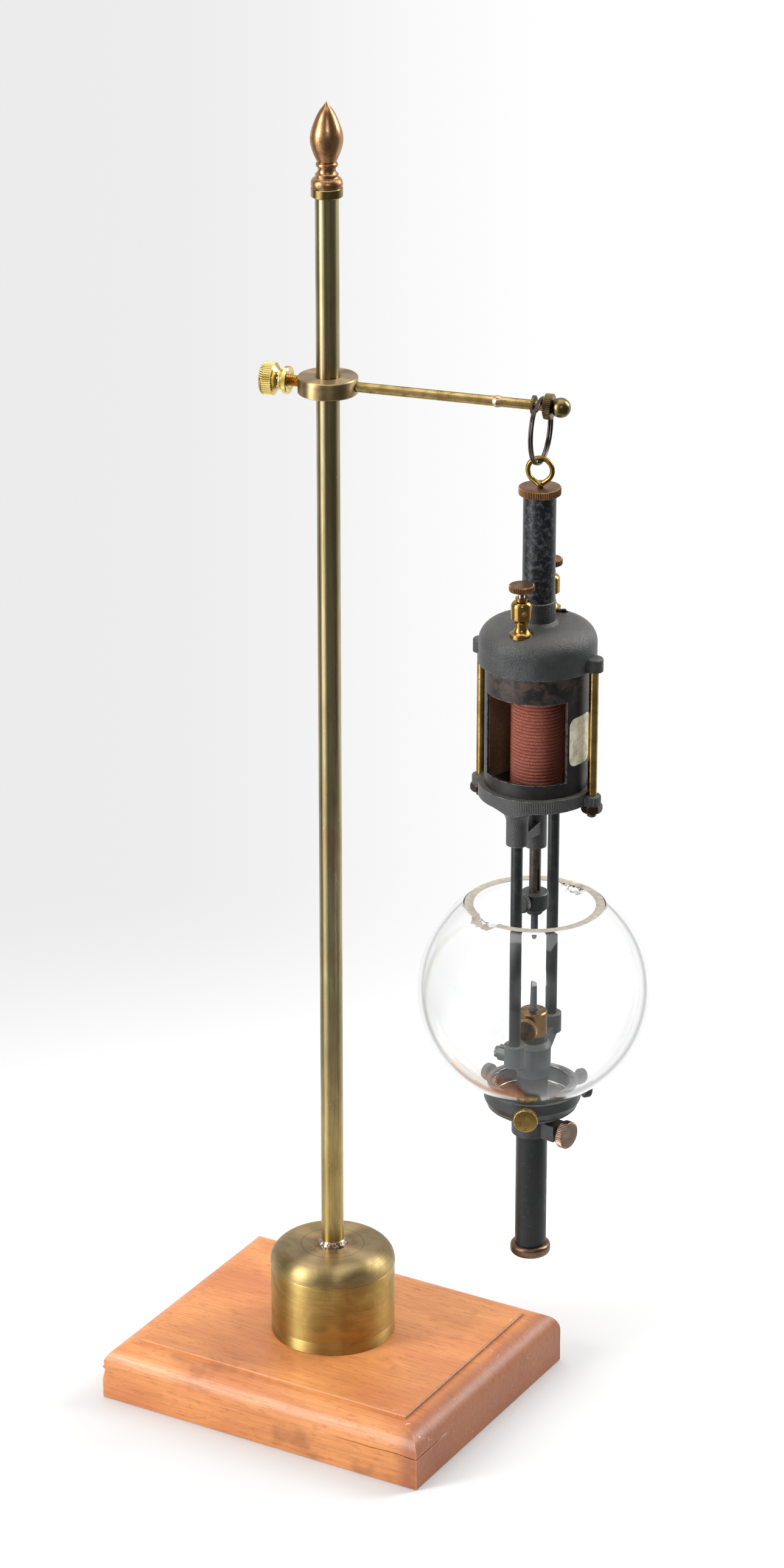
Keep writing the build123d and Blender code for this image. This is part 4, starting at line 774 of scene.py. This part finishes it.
def knurl(outer, ridges, depth, reach=0.8):
    """Shape for lathe(): straight ridges cut into the outermost band."""
    def shape(r, z, angle):
        share = bulge(r, outer - reach, outer - reach * 0.25)
        return r - depth * share * (0.5 - 0.5 * cos(ridges * angle)) ** 1.5, z
    return shape


def thread(radius, pitch, low, high, depth=0.3):
    """Shape for lathe(): a screw thread on a shank between two heights."""
    def shape(r, z, angle):
        ends = bulge(z, low, low + pitch) * bulge(-z, -high, -high + 0.2)
        on_shank = 1.0 if abs(r - radius) < 0.08 else 0.0
        phase = (z / pitch - angle / (2 * pi)) % 1.0
        return r - depth * on_shank * ends * abs(2 * phase - 1), z
    return shape


def both(first, second):
    return lambda r, z, angle: second(*first(r, z, angle), angle)


def clamp():
    """Clamp screw: threaded stud and its knurled thumb nut."""
    place = joint_place("clamp_screw_turn")
    low, high, radius = extent("clamp_stud", place)
    shank = [(0, low), (radius - 0.3, low), (radius, low + 0.3)]
    shank = refine(shank + [(radius, high - 0.3), (radius - 0.3, high), (0, high)], 0.12)
    piece("clamp_stud_thread", lathe(shank, 48, thread(radius, 0.79, low + 0.5, high)), "stud",
          "clamp_screw", ["clamp_stud"], place)
    low, high, head = extent("clamp_thumb_nut", place)
    bore, flange, neck = radius + 0.05, 5.7, 4.1
    outline = [(bore, low + 0.9), (4.3, low + 0.05), (flange - 0.3, low)]
    outline += [(flange, low + 0.3), (flange, low + 1.7)]
    for k in range(9):
        t = k / 8
        throat = (1 - t) ** 2 * flange + 2 * t * (1 - t) * (2 * neck - (flange + head - 0.5) / 2)
        outline.append((throat + t * t * (head - 0.5), low + 1.9 + 3.9 * t))
    outline += [(head, low + 6.3), (head, high - 0.6), (head - 0.6, high - 0.05)]
    outline += [(head - 1.6, high), (1.8, high - 0.1), (0.0, high - 0.35)]
    outline = refine(outline, 0.6)
    inner = [(0.0, high - 2.9), (bore, high - 2.9), (bore, low + 0.9)]
    shape = knurl(head, 44, 0.34)

    def head_only(r, z, angle):
        return shape(r, z, angle) if z > low + 6.2 and z < high - 0.7 else (r, z)

    nut = lathe(inner + outline, 264, head_only)
    piece("clamp_thumb_nut_knurled", nut, "thumb", "clamp_screw", ["clamp_thumb_nut"], place,
          sharp=28)


def arm_details():
    """Knurled nut that keeps the ring on the arm, and the brazing between the arm's two lengths."""
    place = joint_place("ring_nut_turn")
    low, high, outer = extent("arm_nut", place)
    bore = 2.12
    outline = refine(soften([(bore, low), (outer, low), (outer, high), (bore, high)], 0.35), 0.4)
    piece("arm_nut_knurled", lathe(outline, 240, knurl(outer, 40, 0.3), ring=True), "knob", "ring_nut",
          ["arm_nut"], place, sharp=28)
    _, joint, radius = extent("arm_rod", place)
    outline = [(radius - 0.4, joint - 1.5), (radius + 0.02, joint - 1.4), (radius + 0.28, joint - 0.5),
               (radius + 0.34, joint), (radius + 0.22, joint + 0.8), (radius + 0.02, joint + 1.6),
               (radius - 0.4, joint + 1.7)]

    def blobs(r, z, angle):
        lump = rough(6 * cos(angle), 6 * sin(angle), z, 1.4, 4.0)
        return r + 0.22 * lump * bulge(r, radius, radius + 0.3), z

    piece("arm_brazing", lathe(refine(outline, 0.2), 96, blobs, ring=True), "braze", "bracket",
          place=place)


def split_ring():
    """Steel wire wound twice, its turns close below and sprung apart over the arm."""
    centre = (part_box("split_ring")[0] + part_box("split_ring")[1]) / 2
    place = axis_place(centre, ARM)
    _, high, outer = extent("split_ring", place)
    wire = 0.64
    radius = outer - 0.66
    offset = high - 0.66
    points = []
    steps = 240
    for k in range(steps + 1):
        angle = radians(38) + 4 * pi * k / steps
        turn = 2 * k / steps - 1
        shift = offset * max(-1.0, min(1.0, 1.55 * turn))
        points.append((radius * cos(angle), radius * sin(angle), shift))
    ends = [bulge(1 - abs(2 * k / steps - 1), 0.0, 0.02) for k in range(steps + 1)]
    mesh = sweep(points, lambda t: wire * (0.75 + 0.25 * ends[round(t * steps)]), 12)
    piece("split_ring_wire", mesh, "ring", "ring", ["split_ring"], place, sharp=60)


def lamp_eye():
    """Wire eye bent from one length: its end comes back in front of the shank."""
    place = Matrix.Translation((LAMP_AXIS.x, LAMP_AXIS.y, 0)) @ Matrix.Rotation(atan2(ARM.y, ARM.x), 4, "Z")
    low, high, _ = extent("lamp_eye", place)
    wire = 1.0
    loop_r = 4.95
    centre = high - wire - loop_r
    cap = LAMP_AXIS.z / MM
    points = [(0, 0.35, low + 0.8), (0, 0.35, cap - 1.0), (0.1, 0.4, cap + 0.4)]
    for k in range(29):
        angle = radians(-50 + 280 * k / 28)
        points.append((loop_r * cos(angle), 0.5 - 1.0 * k / 28, centre + loop_r * sin(angle)))
    points += [(-1.4, -0.75, cap + 2.0), (0.15, -1.15, cap + 0.9), (0.5, -1.25, cap + 0.45)]
    smooth = catmull(points, 5)
    head = lathe([(0, low), (2.6, low), (2.6, low + 1.6), (0, low + 1.6)], 48)
    mesh = joined(sweep(smooth, lambda t: wire * (1 - 0.45 * bulge(t, 0.965, 1.0)), 16), head)
    piece("lamp_eye_wire", mesh, "eye", "hanger", ["lamp_eye"], place, sharp=50)


def catmull(points, cuts):
    """Smooth curve through points."""
    points = [Vector(p) for p in points]
    padded = [points[0] * 2 - points[1]] + points + [points[-1] * 2 - points[-2]]
    curve = []
    for a, b, c, d in zip(padded, padded[1:], padded[2:], padded[3:]):
        for k in range(cuts):
            t = k / cuts
            curve.append(0.5 * ((2 * b) + (c - a) * t + (2 * a - 5 * b + 4 * c - d) * t * t
                                + (3 * b - a - 3 * c + d) * t ** 3))
    return curve + [points[-1]]


# ---- lamp head ----


def screw(name, joint, node, paint, body, ridges, face=0.0, pitch=0.0, second=None):
    """Knurled screw: shank, neck, and a head with a slightly hollow or crowned face."""
    place = joint_place(joint)
    low, high, head = extent(node, place)
    inverse = place.inverted()
    points = [inverse @ v.co / MM for v in nodes[node].data.vertices]
    shank = min(hypot(p.x, p.y) for p in points if p.z < low + 0.02 and hypot(p.x, p.y) > 0.5)
    under = min(p.z for p in points if hypot(p.x, p.y) > head - 0.5)
    neck_r = max(hypot(p.x, p.y) for p in points if p.z < under - 0.02)
    neck_low = min(p.z for p in points if hypot(p.x, p.y) > neck_r - 0.02)
    shaft = [(0, low), (shank - 0.2, low), (shank, low + 0.2), (shank, neck_low)]
    shaft = refine(shaft, 0.12 if pitch else 5)
    rim = soften([(neck_r, neck_low), (neck_r, under), (head - 0.35, under), (head, under + 0.35),
                  (head, high - 0.4), (head - 0.45, high), (head * 0.5, high + face), (0, high + face)], 0.22)
    shape = knurl(head, ridges, min(0.3, 0.065 * head))
    if pitch:
        shape = both(thread(shank, pitch, low + 0.3, neck_low, 0.2), shape)
    steps = ridges * 6
    extra = (second, lambda c: (inverse @ c).z / MM < under - 0.01) if second else None
    piece(name, lathe(shaft + refine(rim, 0.5), steps, shape), paint, body, [node], place, sharp=28,
          extra=extra)


def hexagonal(flats, low, high, bore, chamfer=0.45):
    """Hexagonal nut with its corners eased at both ends."""
    outer = flats / sqrt(3)

    def shape(r, z, angle):
        if r < bore + 0.05:
            return r, z
        flat = flats / 2 / cos((angle + pi / 6) % (pi / 3) - pi / 6)
        end = min(z - low, high - z)
        limit = flats / 2 - 0.05 + (outer - flats / 2) * bulge(end, -0.3, chamfer * 1.6)
        return min(flat, limit) * min(1.0, r / outer), z

    rows = [(bore, low), (outer * 0.92, low)]
    rows += [(outer, low + (high - low) * k / 10) for k in range(11)]
    rows += [(outer * 0.92, high), (bore, high)]
    return lathe(rows, 96, shape, ring=True)


def lamp_head():
    """Knurled cap and the two terminal screws."""
    low, high, outer = extent("top_cap", lamp_place())
    spigot, bore, band = 5.86, 1.07, 3.0
    outline = soften([(bore, low), (spigot, low), (spigot, high - band), (outer, high - band), (outer, high),
                      (outer - 0.9, high), (bore, high - 0.12)], 0.3)
    piece("top_cap_knurled", lathe(refine(outline, 0.45), 432, knurl(outer, 72, 0.26, 0.5), ring=True),
          "cap", "lamp", ["top_cap"], lamp_place(), sharp=28)
    for side in ("front", "rear"):
        screw(f"terminal_screw_{side}", f"{side}_terminal_screw_turn", f"binding_screw_{side}", "head",
              f"{side}_terminal_screw", 40, face=-0.15, pitch=0.6, second="nickel")


def coil():
    """Cotton-covered wire wound in one close layer, each turn a real ridge."""
    low, high, outer = extent("coil_winding", lamp_place())
    inner, pitch = 5.85, 1.46
    cuts = round((high - low) / pitch * 9)
    face = [(outer, low + (high - low) * k / cuts) for k in range(cuts + 1)]
    rows = [(inner, low)] + face + [(inner, high)]

    def wound(r, z, angle):
        if r < inner + 0.01:
            return r, z
        phase = ((z - low) / pitch + angle / (2 * pi)) % 1.0 * 2 - 1
        fray = 0.05 * rough(r * cos(angle), r * sin(angle), z, 1.1, 3.0)
        wander = 0.10 * rough(r * cos(angle), r * sin(angle), z, 6.0, 8.0)
        return r - 0.74 * (1 - sqrt(max(0.0, 1 - (0.97 * phase) ** 2))) + min(0.0, fray + wander), z

    piece("coil_wound", lathe(rows, 168, wound, ring=True), "coil", "lamp", ["coil_winding"],
          lamp_place(), sharp=180)


def label():
    """Blank paper label with round, slightly torn corners, pasted on the housing."""
    place = lamp_place()
    low, high, outer = extent("housing_label", place)
    inverse = place.inverted()
    angles = [atan2(p.y, p.x) for p in (inverse @ v.co for v in nodes["housing_label"].data.vertices)]
    start, end = min(angles), max(angles)
    wide, tall = (end - start) * outer, high - low
    corner = 3.2
    edge = []
    for cx, cy, begin in ((1, 1, 0), (-1, 1, 90), (-1, -1, 180), (1, -1, 270)):
        for k in range(9):
            angle = radians(begin + 90 * k / 8)
            x = cx * (wide / 2 - corner) + corner * cos(angle)
            y = cy * (tall / 2 - corner) + corner * sin(angle)
            edge.append((x, y))
    outline = refine(edge + edge[:1], 0.5)[:-1]
    outline = [(x * (0.985 + 0.015 * rough(x, y, 0, 2.0, 1.0)), y * (0.98 + 0.02 * rough(x, y, 0, 1.6, 6.0)))
               for x, y in outline]

    def wrapped(x, y, radius):
        angle = (start + end) / 2 + x / outer
        return (radius * cos(angle), radius * sin(angle), (low + high) / 2 + y)

    shrink = [k / 6 for k in range(6, 0, -1)]
    count = len(outline)
    vertices, faces = [], []
    levels = []
    for radius in (outer, outer - 0.14):
        rows = []
        for scale in shrink:
            rows.append(range(len(vertices), len(vertices) + count))
            vertices += [wrapped(x * scale, y * scale, radius) for x, y in outline]
        levels.append(rows)
    front, back = levels
    rows = back[::-1] + front
    for row, after in zip(rows, rows[1:]):
        faces += [[row[k], row[(k + 1) % count], after[(k + 1) % count], after[k]] for k in range(count)]
    faces += [list(rows[0]), list(rows[-1])]
    piece("paper_label", (vertices, faces), "paper", "lamp", ["housing_label"], place)


def tie_rods():
    """Two lacquered rods with threaded lower ends, and their nuts."""
    reach = 24.9
    low, high, _ = extent("tie_rods")
    radius, pitch = 1.95, 0.7
    nut_low, nut_high, _ = extent("tie_rod_nuts")
    outline = refine([(0, low), (radius - 0.5, low), (radius, low + 0.45), (radius, nut_high)], 0.12)
    outline += [(radius, high), (0, high)]
    bar = lathe(outline, 48, thread(radius, pitch, low + 0.3, nut_low + 0.3, 0.25))
    nut = hexagonal(7.7, nut_low, nut_high, radius + 0.03)
    places = [-reach, reach]
    steel = ("nut", lambda c: c.z / MM < nut_high)
    piece("tie_rods_threaded", joined(*[moved(bar, x) for x in places]), "tie", "lamp",
          ["tie_rods"], lamp_place(), extra=steel)
    piece("tie_nuts_hexagonal", joined(*[moved(nut, x) for x in places]), "nut", "lamp",
          ["tie_rod_nuts"], lamp_place(), sharp=25)


def leads():
    """Two cotton-covered leads; the rear one loops out of its hole beside the terminal."""
    high = extent("lead_wires", lamp_place())[1]
    wire = 0.6
    front = [(3.6, -15.8, 355.2), (4.6, -15.0, 353.6), (5.0, -13.4, 352.0), (4.0, -12.0, 349.0),
             (3.0, -11.0, 346.3)]
    rear = [(3.2, 10.6, 346.3), (4.4, 12.4, 350.5), (4.2, 15.2, 356.0), (4.1, 15.9, 360.4),
            (4.6, 15.5, 362.0), (3.4, 14.6, high - 0.7), (2.2, 14.2, high - 1.0)]
    mesh = joined(sweep(catmull(front, 6), wire, 10), sweep(catmull(rear, 6), wire, 10))
    piece("lead_wires_braided", mesh, "wire", "lamp", ["lead_wires"], lamp_place())


def feed():
    """Feed rod with a slot cut near its foot."""
    low, high, radius = extent("feed_rod", lamp_place())
    slot_low, slot_high, slot_at = low + 5.0, low + 15.0, radians(-28)
    outline = [(0, low), (radius, low), (radius, low + 0.2), (radius, slot_low - 0.2)]
    outline += refine([(radius, slot_low - 0.2), (radius, slot_high + 0.2)], 0.4)[1:]
    outline += [(radius, high - 0.3), (radius - 0.3, high), (0, high)]

    def slotted(r, z, angle):
        off = abs((angle - slot_at + pi) % (2 * pi) - pi)
        inside = bulge(z, slot_low, slot_low + 0.3) * bulge(-z, -slot_high, -slot_high + 0.3)
        return r - 1.1 * inside * bulge(-off, -0.26, -0.2) * (1.0 if r > radius - 0.01 else 0.0), z

    piece("feed_rod_slotted", lathe(outline, 120, slotted), "feed", "feed", ["feed_rod"],
          lamp_place(), sharp=30)


def globe():
    """Blown globe, its rim ground flat and chipped in two places, its foot a plain neck."""
    place = lamp_place()
    low, high, outer = extent("globe", place)
    wall, neck, centre = 2.1, 17.8, 200.0
    inner = outer - wall
    lift = high - centre
    rim_out, rim_in = sqrt(outer ** 2 - lift ** 2), sqrt(inner ** 2 - lift ** 2)
    top, foot = atan2(lift, rim_out), -atan2(sqrt(outer ** 2 - neck ** 2), neck)
    inner_top, inner_foot = atan2(lift, rim_in), -atan2(sqrt(inner ** 2 - (neck - wall) ** 2), neck - wall)
    cuts = 72

    def curve(radius, start, end):
        angles = [start + (end - start) * k / cuts for k in range(cuts + 1)]
        return [(radius * cos(a), centre + radius * sin(a)) for a in angles]

    outline = curve(outer, foot, top) + [(rim_out - (rim_out - rim_in) * k / 6, high) for k in range(1, 6)]
    outline += curve(inner, inner_top, inner_foot)
    outline += [(neck - wall, low + 0.4), (neck - wall + 0.6, low), (neck - 0.6, low), (neck, low + 0.4)]
    chips = ((radians(-112), 0.26, 2.3, 1), (radians(81), 0.24, 5.2, -1))

    def broken(r, z, angle):
        for middle, width, depth, face in chips:
            off = abs((angle - middle + pi) % (2 * pi) - pi)
            ragged = width * (1 + 0.35 * rough(30 * angle, r, 0, 2.0, middle))
            share = bulge(-off, -ragged, -ragged * 0.55)
            across = (r - rim_in) / (rim_out - rim_in)
            bias = across if face > 0 else 1 - across
            cut = depth * share * (0.35 + 0.65 * bias) * (0.8 + 0.4 * rough(r, 40 * angle, 0, 3.0, 5.0))
            if share > 0 and z > high - cut:
                z = high - cut
                ball = outer if across > 0.5 else inner
                if across > 0.95 or across < 0.05:
                    r = sqrt(ball ** 2 - (z - centre) ** 2)
        waver = 0.12 * rough(r * cos(angle), r * sin(angle), z, 26.0, 3.0)
        return r + waver * bulge(high - z, 2.0, 12.0) * bulge(z - low, 10.0, 22.0), z

    def on_rim(point):
        local = place.inverted() @ point / MM
        reach = Vector((local.x, local.y, local.z - centre)).length
        return local.z > high - 6 and inner + 0.06 < reach < outer - 0.06

    piece("globe_blown", lathe(outline, 288, broken, ring=True), "glass", "globe_carrier",
          ["globe"], place, sharp=50, extra=("rim", on_rim))


def screws():
    """Carbon, gallery and globe screws."""
    screw("upper_clamp_screw_knurled", "upper_screw_turn", "upper_clamp_screw", "clamp",
          "upper_screw", 34, face=-0.1)
    screw("lower_holder_screw_knurled", "lower_screw_turn", "lower_holder_screw", "holder",
          "lower_screw", 44, face=-0.1, second="nickel")
    screw("gallery_screw_knurled", "carrier_screw_turn", "gallery_screw", "pink_face",
          "carrier_screw", 46, face=0.05)
    for k, paint in ((1, "gold_face"), (2, "clamp"), (3, "clamp")):
        screw(f"globe_screw_{k}_knurled", f"globe_screw_{k}_turn", f"globe_screw_{k}", paint,
              f"globe_screw_{k}", 44, face=0.1)


# ---- stage ----


TO_CAMERA = Vector((0.513, -0.859, 0))  # level direction from the object to the camera
TO_RIGHT = Vector((0.859, 0.513, 0))


def backdrop(p, through):
    """Backdrop brightness in the frame: white, a little grey on the left above the base.

    Behind the globe it is raised by what the glass takes away, as a real backdrop lights it all round."""
    x, y, _ = p.axes(p.coordinates["Window"])
    left = p.times(p.step(x, 0.98, 0.0), p.step(y, 0.12, 0.36))
    return p.times(p.step(left, 0.0, 1.0, 1.02, 0.84), p.step(through, 0.0, 1.0, 1.0, 1.2))


def straight_on(p):
    """1 for a ray that still runs close to the camera's line of sight, 0 for one bent well away."""
    ray = p.add("ShaderNodeVectorTransform", {0: p.geometry.outputs["Incoming"]}, vector_type="VECTOR",
                convert_from="WORLD", convert_to="CAMERA").outputs[0]
    return p.step(p.math("ABSOLUTE", p.axes(ray)[2]), 0.9, 0.965)


def room(p, direction):
    """What metal reflects around the object: bright behind and at the left front, dark at the right front."""
    ahead = p.vector("DOT_PRODUCT", direction, tuple(TO_CAMERA), out=1)
    right = p.vector("DOT_PRODUCT", direction, tuple(TO_RIGHT), out=1)
    angle = p.math("ARCTAN2", right, ahead)
    behind = p.math("MAXIMUM", p.step(angle, 1.45, 2.0), p.step(angle, -1.7, -2.3))
    off = p.math("ABSOLUTE", p.plus(angle, 1.05))
    return p.plus(p.times(behind, 0.9), p.step(off, 0.6, 0.1, 0.16, 2.2))


def floor_paint():
    """Pale floor. Far off it runs into the backdrop, and metal sees the room reflected in its place."""
    p = Paint("pale_floor")
    rays = p.add("ShaderNodeLightPath").outputs
    through = rays["Is Transmission Ray"]
    mirrored = p.times(rays["Is Glossy Ray"], p.math("SUBTRACT", 1.0, through))
    reach = p.vector("LENGTH", p.where, out=1)
    seen = p.math("MAXIMUM", rays["Is Camera Ray"], through)
    plain = p.add("ShaderNodeBsdfDiffuse", {0: (0.66, 0.66, 0.66, 1)}).outputs[0]
    far = p.glow(backdrop(p, through))
    look = p.blend(p.times(seen, p.step(reach, 0.2, 0.55)), plain, far)
    look = p.blend(p.times(mirrored, p.step(reach, 0.2, 0.45)), look, p.glow(room(p, p.where)))
    # painted reflection: rays bent well off the line of sight by the glass see a flat grey glow, so the glass
    # edges show darker
    bent = p.times(through, p.math("SUBTRACT", 1.0, straight_on(p)))
    return p.done(p.blend(bent, look, p.glow((0.55, 0.55, 0.56, 1))))


def world_paint(world):
    """The same room and backdrop above the floor."""
    p = Paint("studio", world)
    rays = p.add("ShaderNodeLightPath").outputs
    through = rays["Is Transmission Ray"]
    around = p.times(room(p, p.coordinates["Generated"]), 0.75)
    seen = p.math("MAXIMUM", rays["Is Camera Ray"], p.times(through, straight_on(p)))
    value = p.plus(p.times(seen, backdrop(p, through)),
                   p.times(p.math("SUBTRACT", 1.0, seen), around))
    shader = p.add("ShaderNodeBackground", {0: value}).outputs[0]
    p.done(shader, "ShaderNodeOutputWorld")


def softbox(name, at, target, width, height, watts):
    """Rectangular area light aimed at a target."""
    lamp = bpy.data.lights.new(name, "AREA")
    lamp.shape = "RECTANGLE"
    lamp.size, lamp.size_y = width, height
    lamp.energy = watts
    obj = bpy.data.objects.new(name, lamp)
    obj.location = at
    obj.rotation_mode = "QUATERNION"
    obj.rotation_quaternion = (Vector(target) - Vector(at)).to_track_quat("-Z", "Y")
    bpy.context.scene.collection.objects.link(obj)


FLOOR_HALF = 12.0
LIT_POINT = (0.03, 0, 0.25)
LENS = 106.58
CAMERA_AT = (0.90605, -1.51712, 1.01046)
CAMERA_TURN = (radians(90 - 22.47), 0, radians(30.02))
SOFTBOXES = (  # name, place, width, height, watts
    ("key_left", (-0.95, -1.35, 0.85), 0.5, 1.3, 30),
    ("back_right", (1.15, 1.3, 1.3), 0.8, 1.3, 32),
    ("overhead", (0.0, 0.15, 2.0), 1.8, 1.8, 19),
    ("front_fill", (1.0, -1.3, 1.3), 0.5, 0.5, 3),
)


def stage():
    """Floor, light and camera."""
    size = FLOOR_HALF
    corners = [(-size, -size, 0), (size, -size, 0), (size, size, 0), (-size, size, 0)]
    data = bpy.data.meshes.new("floor")
    data.from_pydata(corners, [], [[0, 1, 2, 3]])
    data.materials.append(floor_paint())
    floor = bpy.data.objects.new("floor", data)
    bpy.context.scene.collection.objects.link(floor)
    for name, at, width, height, watts in SOFTBOXES:
        softbox(name, at, LIT_POINT, width, height, watts)
    world = bpy.data.worlds.new("studio")
    bpy.context.scene.world = world
    world_paint(world)
    camera = bpy.data.cameras.new("camera")
    camera.lens = LENS
    camera.sensor_width = 36
    camera.clip_start, camera.clip_end = 0.05, 50
    obj = bpy.data.objects.new("camera", camera)
    obj.location, obj.rotation_euler = CAMERA_AT, CAMERA_TURN
    bpy.context.scene.collection.objects.link(obj)
    bpy.context.scene.camera = obj
    bpy.context.scene.view_settings.view_transform = "Standard"


paint_frame()
base_board()
drum_shell()
ferrule()
clamp()
arm_details()
split_ring()
lamp_eye()
lamp_head()
coil()
label()
tie_rods()
leads()
feed()
globe()
screws()
stage()
